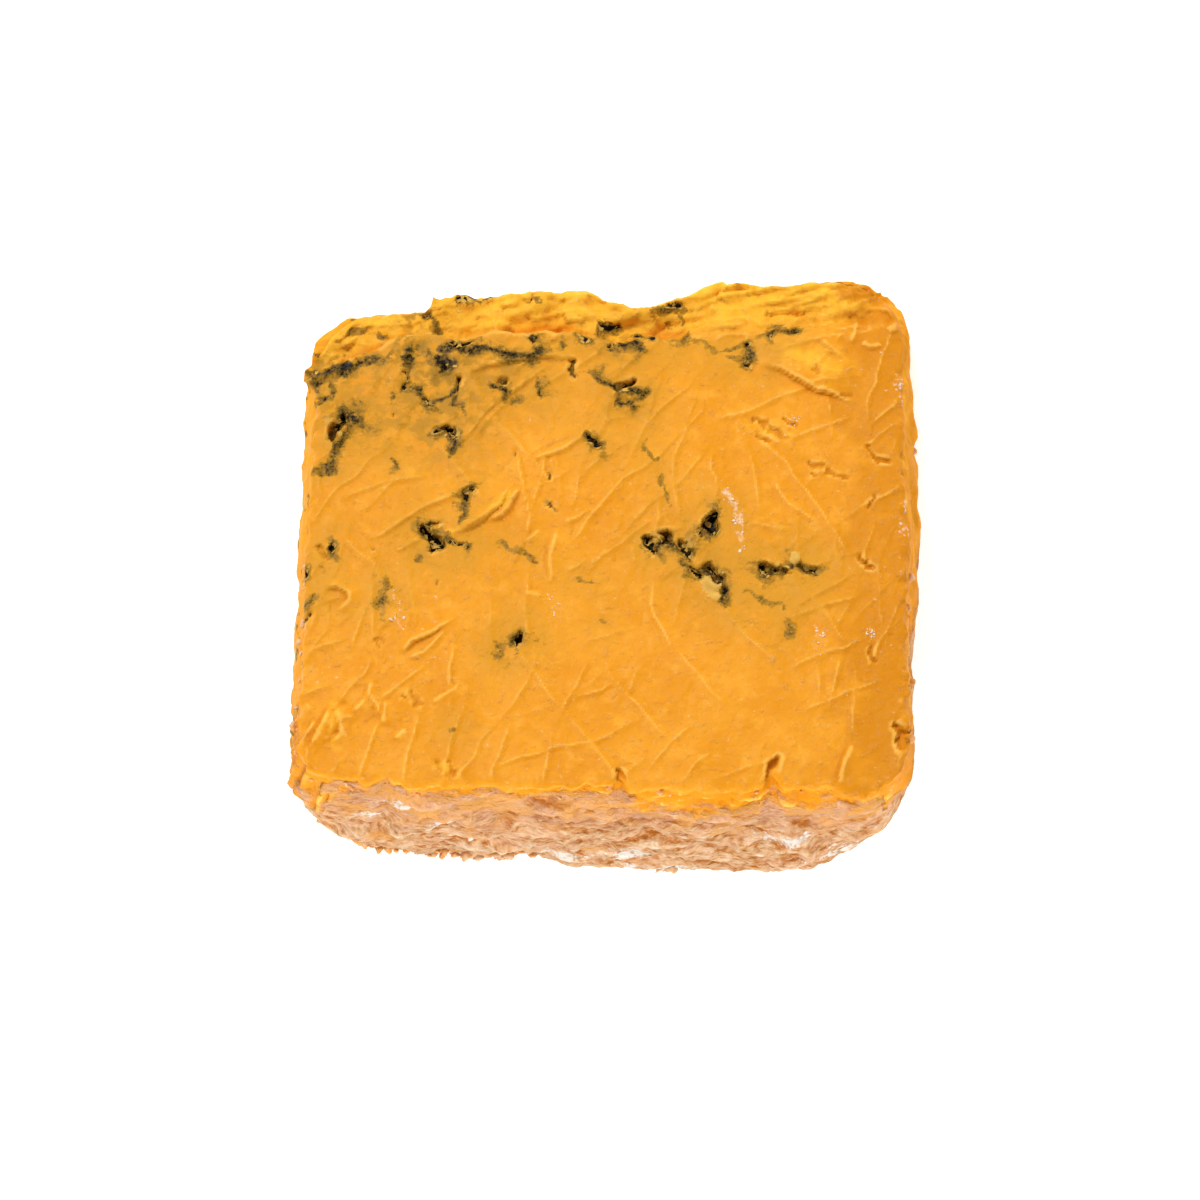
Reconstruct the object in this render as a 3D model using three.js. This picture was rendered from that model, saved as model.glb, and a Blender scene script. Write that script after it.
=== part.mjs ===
// A wedge of blue-veined orange cheese, lying on one of its two cut faces.
//
// Millimetres, +Z up. The origin is on the face that the wedge lies on, under the middle of its box.
// The rind is at the front (-Y) and at the right end (+X). The left end (-X) is cut, and the thin end
// of the wedge, at the back (+Y), is broken off. X runs along the axis of the whole cheese.

import * as THREE from "three";
import { mergeGeometries, mergeVertices } from "three/addons/utils/BufferGeometryUtils.js";

const { clamp, lerp, smoothstep, degToRad } = THREE.MathUtils;

// The whole cheese, and the wedge that is cut from it. Lengths in millimetres, angles in degrees.
const WHEEL_RADIUS = 108;
const WEDGE_ANGLE = 20;
const WIDTH = 102.5;
const TIP_LOST = 12; // length of the thin end that has crumbled away
const FRONT_Y = -48.5; // the rind's foot
const AXIS_Y = FRONT_Y + WHEEL_RADIUS; // the middle line of the whole cheese, on the lower cut face
const BACK_Y = AXIS_Y - TIP_LOST;
const LEFT_X = -WIDTH / 2;
const RIGHT_X = WIDTH / 2;
const WEDGE_SLOPE = Math.tan(degToRad(WEDGE_ANGLE));

// Corner radii seen from above, at the foot and at the upper cut face.
const CORNERS = {
  frontLeft: { foot: 18, top: 6 },
  frontRight: { foot: 23, top: 9 },
  backRight: { foot: 11, top: 13 },
  backLeft: { foot: 9, top: 10 },
};
const CORNER_EASE = 0.8; // below 1, a corner's radius changes faster near the foot

// How far the four sides stray from a true rectangle.
const FRONT_SLANT = -0.03; // rise over run: the right end of the rind stands further forward
const BACK_SLANT = 0.05; // the right end of the broken edge stands further back
const LEFT_LEAN = 3.2; // the left end draws in by this much at the back
const RIGHT_LEAN = 1.7; // the right end draws in by this much at the front
const LEFT_BULGE = 1.4; // the ends swell between the foot and the top
const RIGHT_BULGE = 1.1;
const TOP_INSET = 0.8; // the upper face is this much shorter at each end
const FOOT_ROUND = 1.6; // the lower edge's radius
const EDGE_ROUND = 1.7; // the upper edge's radius
const FOOT_LIP = { from: -9, to: -4, deep: 1.8, level: 0.7 }; // right of this, the rind's foot juts out
const BACK_BAY = { x: 5.5, half: 12, deep: 3.6 }; // a bite out of the back edge
const BACK_STEP = { from: -33, to: -30.5, deep: 2 }; // left of this, the back edge is further in
const EDGE_SHARE = 0.2; // share of the depth over which these three fade out inwards
const OUTWARD_POWER = 7; // the higher, the squarer the directions in which the sides face

// The broken thin end: the upper face stops at this line, and a rough ledge goes on behind it.
const BREAK_LINE = [
  [-60, 27], [-46, 32.5], [-37, 36.5], [-29, 38.8], [-14, 39.3], [-7, 40.2],
  [2.5, 37.6], [9, 39.2], [23, 40.3], [43, 41.8], [60, 42],
];
const BREAK_RAGGED = { rise: 1.2, length: 6 };
const LEDGE_HEIGHT = 4.1;
const LEDGE_FALL = 0.16; // the ledge sinks this much for each millimetre towards the back
const THINNEST = 1.2; // the least thickness left anywhere
const BREAK_WIDTH = { left: 1.6, right: 6.5, from: 8, to: 24 }; // a step on the left, a slope on the right
const HOLLOW = { x: 3.4, y: 40.6, long: 5, wide: 2.4, deep: 1.7 }; // torn out behind the break

// A thin layer that the cut dragged over the face, at the back right. Its edge runs down to the right.
const FLAKE = { x: 34, y: 29.7, slope: -0.56, left: 24, right: 42, rise: 1.1, edge: 1.1, fade: 14 };
const FLAKE_RAGGED = { rise: 1.2, length: 5 };

// Crumbled pockets in the upper face, where the mould grew: place, half sizes, turn and depth.
const POCKETS = [
  { x: -43.5, y: 21.9, long: 5, wide: 2, turn: 58, deep: 2.2 },
  { x: -26.2, y: 21, long: 2.8, wide: 2, turn: -40, deep: 1.9 },
  { x: -17.5, y: 30.2, long: 2.6, wide: 2.1, turn: 0, deep: 1.6 },
  { x: 3.5, y: 29.6, long: 4.2, wide: 2, turn: 25, deep: 2 },
  { x: -28.3, y: 2, long: 3.4, wide: 2.8, turn: 70, deep: 2.4 },
  { x: 7.6, y: 1.1, long: 3, wide: 2, turn: -60, deep: 2 },
  { x: 11.7, y: 2, long: 3, wide: 2, turn: -50, deep: 2 },
  { x: 17.5, y: 5.4, long: 3.2, wide: 1.8, turn: 50, deep: 2.2 },
  { x: 17.7, y: -6.1, long: 5.4, wide: 3.4, turn: -50, deep: 2.8 },
  { x: 29.6, y: -3.6, long: 5.6, wide: 2.8, turn: 8, deep: 2.6 },
  { x: -13.9, y: -15.5, long: 2.6, wide: 1.9, turn: 30, deep: 1.7 },
  { x: 45.6, y: 17.4, long: 4.4, wide: 2, turn: 35, deep: 1.8 },
];

// Folds pressed into the upper face: ends, bow to one side, half width and height.
const FOLDS = [
  { from: [-26.2, 2.7], to: [-14.8, 12.2], bow: -1.2, wide: 1.6, rise: 1.1 },
  { from: [-39.7, 0.9], to: [-23.5, 11], bow: 0.6, wide: 1.4, rise: 0.7 },
  { from: [-33.4, -19], to: [-24, -11.9], bow: -1, wide: 1.8, rise: 1 },
  { from: [-23.5, 31.1], to: [-3.8, 35.2], bow: 1.6, wide: 1.4, rise: 0.7 },
  { from: [-15.4, 14.4], to: [0.7, 23.4], bow: 0.8, wide: 1.4, rise: 0.6 },
];
const FOLD_TAPER = 0.25; // share of a fold's length over which each end dies away

// Splits that run down the rind from its upper edge: place, half width and depth.
const SPLITS = [
  { x: 27.1, wide: 2.2, deep: 1.8 },
  { x: 2.4, wide: 2, deep: 1.2 },
  { x: -35.6, wide: 2.6, deep: 1.4 },
];
const SPLIT_REACH = 0.55; // share of the rind's height that a split runs down

// Unevenness: the largest swing and the length of a swing.
const FACE_SWELL = { rise: 0.55, length: 26 };
const RIND_CRAGS = { rise: 2.7, length: 7.5 };
const RIND_LAYERING = 1.6; // the rind's crags are this many times longer than they are high
const CUT_END_CRAGS = { rise: 1, length: 10 };
const CUT_END_DEPTH = 8; // how far in from the cut end the rind's crags are at their full height
const ROUGH_HEIGHT = 16; // a side lower than this is less rough
const BROKEN_CRAGS = { rise: 1.6, length: 5 };
const OUTLINE_WANDER = { rise: 1.1, length: 15 };
const FINE = { scale: 2.3, share: 0.33, offset: 9 }; // a finer noise that is laid over each coarse one
const HASH = { i: 127.1, j: 311.7, k: 74.7, spread: 43758.5453 }; // mixes a lattice point's numbers
const LAYERS = { face: 0, flake: 3, ledge: 5, breakLine: 7 }; // heights in the noise, to keep them unlike

// Mesh steps across, from front to back, and up the sides.
const STEPS_X = 58;
const STEPS_Y = 54;
const STEPS_UP = 12;
const BREAK_SAMPLES = 120;
const WELD = 1e-3; // points nearer than this are one

const ARC_SHARE = 1 - Math.SQRT1_2; // how far in a corner arc's middle lies, in radii

// A fixed random value from -1 to 1 for each point of a whole-number lattice.
function latticeValue(i, j, k) {
  const swing = HASH.spread * Math.sin(i * HASH.i + j * HASH.j + k * HASH.k);
  return 2 * (swing - Math.floor(swing)) - 1;
}

// Smooth noise from -1 to 1, with features about one unit long.
function noise(x, y, z) {
  const [i, j, k] = [x, y, z].map(Math.floor);
  const [a, b, c] = [x - i, y - j, z - k].map((f) => f * f * (3 - 2 * f));
  const edge = (dj, dk) => lerp(latticeValue(i, j + dj, k + dk), latticeValue(i + 1, j + dj, k + dk), a);
  const face = (dk) => lerp(edge(0, dk), edge(1, dk), b);
  return lerp(face(0), face(1), c);
}

// Noise of two sizes.
function crags(x, y, z, { rise, length }) {
  const [a, b, c] = [x / length, y / length, z / length];
  const fine = noise(FINE.scale * a + FINE.offset, FINE.scale * b, FINE.scale * c);
  return rise * lerp(noise(a, b, c), fine, FINE.share);
}

// A hill that is 1 in the middle and falls to 0 at a distance of 1.
function hill(distance) {
  const rest = clamp(1 - distance * distance, 0, 1);
  return rest * rest;
}

// The drop of a rounded corner or edge of this radius, at a distance from the sharp one.
function roundOff(distance, radius) {
  const left = clamp(radius - distance, 0, radius);
  return radius - Math.sqrt(radius * radius - left * left);
}

const breakCurve = new THREE.SplineCurve(BREAK_LINE.map(([x, y]) => new THREE.Vector2(x, y)));
const breakPoints = breakCurve.getPoints(BREAK_SAMPLES);

// How far back the upper face reaches at this place across the wedge.
function breakAt(x) {
  const next = breakPoints.findIndex((p) => p.x > x);
  const [a, b] = [breakPoints[next - 1], breakPoints[next]];
  const ragged = crags(x, 0, LAYERS.breakLine, BREAK_RAGGED);
  return lerp(a.y, b.y, (x - a.x) / (b.x - a.x)) + ragged;
}

// Depth of the pockets at a point of the upper face.
function pocketDepth(x, y) {
  const depths = POCKETS.map((p) => {
    const turn = degToRad(p.turn);
    const along = (x - p.x) * Math.cos(turn) + (y - p.y) * Math.sin(turn);
    const across = (y - p.y) * Math.cos(turn) - (x - p.x) * Math.sin(turn);
    return p.deep * hill(Math.hypot(along / p.long, across / p.wide));
  });
  return Math.max(...depths);
}

// Height of the folds at a point of the upper face.
function foldHeight(x, y) {
  const heights = FOLDS.map((f) => {
    const [dx, dy] = [f.to[0] - f.from[0], f.to[1] - f.from[1]];
    const length = Math.hypot(dx, dy);
    const along = ((x - f.from[0]) * dx + (y - f.from[1]) * dy) / (length * length);
    const across = ((y - f.from[1]) * dx - (x - f.from[0]) * dy) / length;
    const middle = 4 * f.bow * along * (1 - along);
    const taper = clamp(along / FOLD_TAPER, 0, 1) * clamp((1 - along) / FOLD_TAPER, 0, 1);
    return f.rise * taper * hill((across - middle) / f.wide);
  });
  return Math.max(...heights);
}

// Rise of the dragged layer at the back right.
function flakeHeight(x, y) {
  const edgeY = FLAKE.y + FLAKE.slope * (x - FLAKE.x) + crags(x, 0, LAYERS.flake, FLAKE_RAGGED);
  const growth = Math.sqrt(smoothstep(x, FLAKE.left, FLAKE.right));
  const fade = 1 - smoothstep(y, edgeY, edgeY + FLAKE.fade);
  return FLAKE.rise * growth * fade * smoothstep(y, edgeY - FLAKE.edge, edgeY + FLAKE.edge);
}

// Height of the rough ledge behind the break.
function ledgeHeight(x, y) {
  const away = Math.hypot((x - HOLLOW.x) / HOLLOW.long, (y - HOLLOW.y) / HOLLOW.wide);
  const fall = LEDGE_FALL * (y - breakAt(x)) + HOLLOW.deep * hill(away);
  return LEDGE_HEIGHT - fall + crags(x, y, LAYERS.ledge, BROKEN_CRAGS);
}

// The upper surface: the cut face, and the ledge behind the break.
function topHeight(x, y) {
  const cut = (AXIS_Y - y) * WEDGE_SLOPE;
  const swell = crags(x, y, LAYERS.face, FACE_SWELL);
  const face = cut + swell + foldHeight(x, y) + flakeHeight(x, y) - pocketDepth(x, y);
  const breakY = breakAt(x);
  const rightness = smoothstep(x, BREAK_WIDTH.from, BREAK_WIDTH.to);
  const half = lerp(BREAK_WIDTH.left, BREAK_WIDTH.right, rightness) / 2;
  const broken = smoothstep(y, breakY - half, breakY + half);
  return Math.max(lerp(face, Math.min(cut, ledgeHeight(x, y)), broken), THINNEST);
}

// The corner radius at a level from 0, the foot, to 1, the upper face.
function cornerRadius(corner, level) {
  return lerp(corner.foot, corner.top, Math.pow(level, CORNER_EASE));
}

// The rind is part of the wheel's round wall, so it leans back from its foot to the upper face.
function rindSetBack(level) {
  return WHEEL_RADIUS * (1 - Math.cos(degToRad(WEDGE_ANGLE * level)));
}

// A point of the outline, seen from above, at a level. Sides go round from the front, anticlockwise.
function outline(side, t, level) {
  const fl = cornerRadius(CORNERS.frontLeft, level);
  const fr = cornerRadius(CORNERS.frontRight, level);
  const br = cornerRadius(CORNERS.backRight, level);
  const bl = cornerRadius(CORNERS.backLeft, level);
  const swell = Math.sin(Math.PI * level);
  const left = LEFT_X - LEFT_BULGE * swell + TOP_INSET * level;
  const right = RIGHT_X + RIGHT_BULGE * swell - TOP_INSET * level;
  const front = FRONT_Y + rindSetBack(level);
  if (side === "front") {
    const x = lerp(left + ARC_SHARE * fl, right - ARC_SHARE * fr, t);
    return strayed(x, front + roundOff(x - left, fl) + roundOff(right - x, fr), level);
  }
  if (side === "right") {
    const y = lerp(front + ARC_SHARE * fr, BACK_Y - ARC_SHARE * br, t);
    return strayed(right - roundOff(y - front, fr) - roundOff(BACK_Y - y, br), y, level);
  }
  if (side === "back") {
    const x = lerp(right - ARC_SHARE * br, left + ARC_SHARE * bl, t);
    return strayed(x, BACK_Y - roundOff(x - left, bl) - roundOff(right - x, br), level);
  }
  const y = lerp(BACK_Y - ARC_SHARE * bl, front + ARC_SHARE * fl, t);
  return strayed(left + roundOff(y - front, fl) + roundOff(BACK_Y - y, bl), y, level);
}

// The way out of the wedge at a point of its outline, seen from above.
function outwards(x, y) {
  const [outX, outY] = [(2 * x) / WIDTH, (2 * (y - FRONT_Y)) / (BACK_Y - FRONT_Y) - 1];
  return new THREE.Vector2(Math.pow(outX, OUTWARD_POWER), Math.pow(outY, OUTWARD_POWER)).normalize();
}

// A point of the true rectangle, moved to where the uneven outline has it.
function strayed(x, y, level) {
  const backShare = (y - FRONT_Y) / (BACK_Y - FRONT_Y);
  const rightShare = (x - LEFT_X) / WIDTH;
  const atBack = smoothstep(backShare, 1 - EDGE_SHARE, 1);
  const atFront = 1 - smoothstep(backShare, 0, EDGE_SHARE);
  const lean = LEFT_LEAN * backShare * (1 - rightShare) - RIGHT_LEAN * (1 - backShare) * rightShare;
  const slant = x * lerp(FRONT_SLANT, BACK_SLANT, backShare);
  const bay = BACK_BAY.deep * hill((x - BACK_BAY.x) / BACK_BAY.half);
  const step = BACK_STEP.deep * (1 - smoothstep(x, BACK_STEP.from, BACK_STEP.to));
  const lipLevel = 1 - smoothstep(level, 0, FOOT_LIP.level);
  const lip = FOOT_LIP.deep * smoothstep(x, FOOT_LIP.from, FOOT_LIP.to) * lipLevel;
  const wander = crags(x, y, OUTLINE_WANDER.length * level, OUTLINE_WANDER);
  const place = new THREE.Vector2(x + lean, y + slant - (bay + step) * atBack - lip * atFront);
  return place.addScaledVector(outwards(x, y), wander);
}

// How far a side's roughness pushes a point out. The cut left end is smoother than the rind.
function sideRelief(x, y, height, level) {
  const z = height * level;
  const rind = crags(x, y, z * RIND_LAYERING, RIND_CRAGS);
  const cutEnd = crags(x, y, z, CUT_END_CRAGS);
  const rough = lerp(cutEnd, rind, smoothstep(x, LEFT_X, LEFT_X + CUT_END_DEPTH));
  const share = Math.sin(Math.PI * level) * clamp(height / ROUGH_HEIGHT, 0, 1);
  const splits = SPLITS.map((s) => s.deep * hill((x - s.x) / s.wide));
  const splitLevel = y < 0 ? smoothstep(level, 1 - SPLIT_REACH, 1) : 0;
  return rough * share - splitLevel * Math.max(...splits);
}

// A point of one side, at a share t along it and a level up it.
function sidePoint(side, t, level) {
  const rim = outline(side, t, 1);
  const place = outline(side, t, level);
  const height = Math.max(topHeight(rim.x, rim.y) - EDGE_ROUND / 2, THINNEST);
  const out = sideRelief(place.x, place.y, height, level) - roundOff(height * level, FOOT_ROUND);
  place.addScaledVector(outwards(place.x, place.y), out);
  return new THREE.Vector3(place.x, place.y, height * level);
}

// A point of the upper surface, at shares u across and v from front to back, inside its four edges.
function topPoint(u, v) {
  const [front, back] = [sidePoint("front", u, 1), sidePoint("back", 1 - u, 1)];
  const [left, right] = [sidePoint("left", 1 - v, 1), sidePoint("right", v, 1)];
  const [frontLeft, frontRight] = [sidePoint("front", 0, 1), sidePoint("front", 1, 1)];
  const [backRight, backLeft] = [sidePoint("back", 0, 1), sidePoint("back", 1, 1)];
  const between = front.lerp(back, v).add(left.lerp(right, u));
  const place = between.sub(frontLeft.lerp(frontRight, u).lerp(backLeft.lerp(backRight, u), v));
  const onEdge = u === 0 || u === 1 || v === 0 || v === 1;
  if (onEdge) return place;
  const toEnd = Math.min(u, 1 - u) * WIDTH;
  const toFront = v * (BACK_Y - FRONT_Y);
  const drop = (roundOff(toEnd, EDGE_ROUND) + roundOff(toFront, EDGE_ROUND)) / 2;
  return place.setZ(Math.max(topHeight(place.x, place.y) - drop, THINNEST));
}

// A grid of steps whose points are moved to where place(u, v) says.
function sheet(stepsU, stepsV, place) {
  const grid = new THREE.PlaneGeometry(1, 1, stepsU, stepsV);
  const at = grid.attributes.position;
  for (let n = 0; n < at.count; n += 1) {
    const u = Math.round((at.getX(n) + 0.5) * stepsU) / stepsU;
    const v = Math.round((at.getY(n) + 0.5) * stepsV) / stepsV;
    at.setXYZ(n, ...place(u, v));
  }
  grid.deleteAttribute("normal");
  grid.deleteAttribute("uv");
  return grid;
}

const SIDES = [
  ["front", STEPS_X],
  ["right", STEPS_Y],
  ["back", STEPS_X],
  ["left", STEPS_Y],
];

// The flat face that the wedge lies on, inside the foot of the four sides.
function lowerFace() {
  const rim = SIDES.flatMap(([side, steps]) =>
    Array.from({ length: steps }, (_, n) => sidePoint(side, n / steps, 0)),
  );
  const face = new THREE.ShapeGeometry(new THREE.Shape(rim.map((p) => new THREE.Vector2(p.x, p.y))));
  const corners = face.index.array;
  for (let n = 0; n < corners.length; n += 3) {
    [corners[n], corners[n + 1]] = [corners[n + 1], corners[n]];
  }
  face.deleteAttribute("normal");
  face.deleteAttribute("uv");
  return face;
}

// The whole wedge as one closed surface, with the middle of its box over the origin.
function wedge() {
  const top = sheet(STEPS_X, STEPS_Y, topPoint);
  const sides = SIDES.map(([side, steps]) =>
    sheet(steps, STEPS_UP, (t, level) => sidePoint(side, t, level)),
  );
  const closed = mergeVertices(mergeGeometries([top, ...sides, lowerFace()]), WELD);
  closed.computeBoundingBox();
  const middle = closed.boundingBox.getCenter(new THREE.Vector3());
  closed.translate(-middle.x, -middle.y, 0);
  closed.computeVertexNormals();
  return closed;
}

const cheese = new THREE.Mesh(
  wedge(),
  new THREE.MeshStandardMaterial({ color: 0xf2a53a, roughness: 0.55, metalness: 0 }),
);
cheese.name = "cheese";

const part = new THREE.Group();
part.add(cheese);

export default part;
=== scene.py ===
"""The looks of a wedge of blue-veined orange cheese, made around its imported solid.

The shape repeats the solid's sizes and formulas at a finer step. To these it adds what the photo shows of
the veins, folds, torn places and rind. Lengths are in millimetres, and the mesh is in metres at the end.
"""

import math

import bmesh
import bpy
import numpy as np
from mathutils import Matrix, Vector


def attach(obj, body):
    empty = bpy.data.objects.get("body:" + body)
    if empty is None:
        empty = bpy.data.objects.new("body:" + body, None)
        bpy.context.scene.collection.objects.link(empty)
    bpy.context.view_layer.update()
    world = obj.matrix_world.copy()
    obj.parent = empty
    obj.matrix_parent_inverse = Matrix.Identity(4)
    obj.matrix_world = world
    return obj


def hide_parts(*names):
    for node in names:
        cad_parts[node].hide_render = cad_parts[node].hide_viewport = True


MM = 0.001
SEED = 11

# The photo's camera: a point it looks at, its tilt from straight down, its distance and its focal length.
PHOTO_SIZE = 1200
PHOTO_MIDDLE = PHOTO_SIZE / 2
CAMERA_AIM = (-1.45, -6.8, 15)
CAMERA_TILT = math.radians(10)
CAMERA_DISTANCE = 1200
PIXELS_PER_MM = 6.05
FOCAL_PIXELS = PIXELS_PER_MM * CAMERA_DISTANCE
SENSOR_WIDTH = 36

# The wedge, as the solid has it.
WHEEL_RADIUS = 108
WEDGE_ANGLE = math.radians(20)
WIDTH = 102.5
TIP_LOST = 12
FRONT_Y = -48.5
AXIS_Y = FRONT_Y + WHEEL_RADIUS
BACK_Y = AXIS_Y - TIP_LOST
DEPTH = BACK_Y - FRONT_Y
LEFT_X = -WIDTH / 2
RIGHT_X = WIDTH / 2
WEDGE_SLOPE = math.tan(WEDGE_ANGLE)

# Corner radii seen from above, at the foot and at the upper cut face.
FRONT_LEFT = (18, 6)
FRONT_RIGHT = (23, 9)
BACK_RIGHT = (11, 13)
BACK_LEFT = (9, 10)
CORNER_EASE = 0.8
ARC_SHARE = 1 - math.sqrt(0.5)

# How far the four sides stray from a true rectangle.
FRONT_SLANT = -0.03
BACK_SLANT = 0.05
LEFT_LEAN = 3.2
RIGHT_LEAN = 1.7
LEFT_BULGE = 1.4
RIGHT_BULGE = 1.1
TOP_INSET = 0.8
FOOT_ROUND = 1.6
EDGE_ROUND = 1.7
FOOT_LIP = {"start": -9, "end": -4, "deep": 1.8, "level": 0.7}
BACK_BAY = {"x": 5.5, "half": 12, "deep": 3.6}
BACK_STEP = {"start": -33, "end": -30.5, "deep": 2}
EDGE_SHARE = 0.2
OUTWARD_POWER = 7

# The broken thin end. The upper face stops at this line, and a rough ledge goes on behind it.
BREAK_LINE = [
    (-60, 27), (-46, 32.5), (-37, 36.5), (-29, 38.8), (-14, 39.3), (-7, 40.2),
    (2.5, 37.6), (9, 39.2), (23, 40.3), (43, 41.8), (60, 42),
]
BREAK_SAMPLES = 120
BREAK_RAGGED = (1.2, 6)
BREAK_CHIPS = (0.8, 2.0)
LEDGE_HEIGHT = 4.1
LEDGE_FALL = 0.16
THINNEST = 1.2
BREAK_WIDTH = {"left": 1.0, "right": 6.5, "start": 8, "end": 24}
HOLLOW = {"x": 3.4, "y": 40.6, "long": 5, "wide": 2.4, "deep": 1.7}
CHUNKS = ((6, 0.7), (2.4, 0.4))  # broken facets on the ledge: size and rise
CHUNKS_RIGHT = 0.8  # their rise on the slope at the right, beside the left
FACET_JITTER = 0.45
FACET_LIFT = 0.5
# Torn layers on the slope at the back right. Further left they have a share of this rise.
STRANDS = {"long": 6, "wide": 1.2, "rise": 0.8, "turn": 0.2, "left_share": 0.35}

# The thin layer that the cut dragged over the face, at the back right.
FLAKE = {
    "x": 34, "y": 29.7, "slope": -0.56, "left": 24, "right": 32, "end": 39,
    "soft_end": 3, "rise": 1.3, "edge": 0.25, "fade": 14,
}
FLAKE_RAGGED = (1.2, 5)
FLAKE_CHIPS = (0.4, 2.2)

# Splits that run down the rind from its upper edge: place, half width and depth.
SPLITS = [(27.1, 2.2, 1.8), (2.4, 2, 1.2), (-35.6, 2.6, 1.4)]
SPLIT_REACH = 0.55

# Unevenness: the largest swing and the length of a swing.
FACE_SWELL = (0.55, 26)
RIND_CRAGS = (2.7, 7.5)
RIND_LAYERING = 1.6
CUT_END_CRAGS = (1, 10)
CUT_END_DEPTH = 8
ROUGH_HEIGHT = 16
BROKEN_CRAGS = (1.6, 5)
OUTLINE_WANDER = (1.1, 15)
FINE_SCALE, FINE_SHARE, FINE_OFFSET = 2.3, 0.33, 9
HASH = (127.1, 311.7, 74.7)
HASH_SPREAD = 43758.5453

# Heights in the noise, which keep one form's noise unlike another's.
LAYER = {
    "face": 0, "flake": 3, "ledge": 5, "break": 7, "flake_chips": 23, "break_chips": 25, "deep": 33,
    "strands": 41, "pocket_floor": 43, "strand_bend": 45, "pleats": 47, "corner": 49, "fibre_bend": 51,
    "crumbs": 57, "patches": 61, "rind_border": 71, "rind_border_fine": 73, "vein_swell": 91, "creases": 101,
}
FACET_LAYERS = {"x": 11, "y": 12, "tilt_x": 13, "tilt_y": 14, "height": 15}
WARP_LAYERS, FOLD_LAYERS, CREASE_LAYERS = (21, 27), (81, 83), (85, 87)

# Finer unevenness, which only the looks have.
RIND_GRAIN = (0.8, 2.4)
SOFTER_CRAGS = (1.7, 7.5)  # the rind's larger crags, less deep because the finer ones add to them
FIBRES = {"long": 4, "high": 1.5, "rise": 0.35, "wave": 0.3}
LARGE_PLATES = (11, 4, 0.45)  # size, how much flatter than long, and rise
SMALL_PLATES = (3.4, 2.2, 0.35)
PLATE_STEPS = 3
STRATA_FOLLOW = 1.4  # how far the rind's layers follow its bulges, as a factor on their height
PLATE_EDGE = 0.15
PLATE_FINE = (2.7, 0.4)  # scale and share of the finer noise in the plates
PLATE_SHIFT = 40  # keeps the small plates unlike the large ones
CUT_END_GRAIN = (0.5, 2.4)
EDGE_CRUMBLE = (0.5, 1.5)
CRUMBLE_ON_CUT = 0.5  # how far the cut sides' edges crumble beside the rind's
RIND_TURN = (0.45, 0.7)  # how squarely a side faces the front or the right where the rind begins
PLEATS = {"rise": 0.7, "wide": 1.8, "high": 9}  # upright folds at the front left corner
RUFFLED = (22, 38)  # the pleats grow between these places towards the front
CORNER_RAGGED = (0.35, 4)  # swing and length of the rind's border at the left corner
RIGHT_END_SHARE = 0.3  # how rough the right end is beside the front
EDGE_REACH = 3
# Faint creases along straight lines: turn and gap of each set of lines, height, and size of their patches.
CREASE_SETS = [(0.35, 7.5), (0.6, 9), (0.8, 5.5), (1.05, 8), (1.3, 7), (1.65, 6.5), (2.2, 11)]
CREASE_RISE = 0.46
CREASE_PATCH = 12
CREASE_SHOWS = (0.05, 0.7)
CREASE_BEND = ((1.5, 12), (0.35, 3))
VEIN_WARP = ((0.9, 2.6), (0.45, 0.9))
VEIN_SWELL = (0.6, 2)
POCKET_FLOOR = (0.9, 1.1)
POCKET_FLOOR_SHARE = 0.3  # share of a pocket's depth that its lumpy floor takes
PIT_WALL = 0.6  # share of a pit's half width that its wall takes
PIT_LIP = {"share": 0.05, "out": 0.35, "half": 0.45}
PIT_REACH = 3

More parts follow.
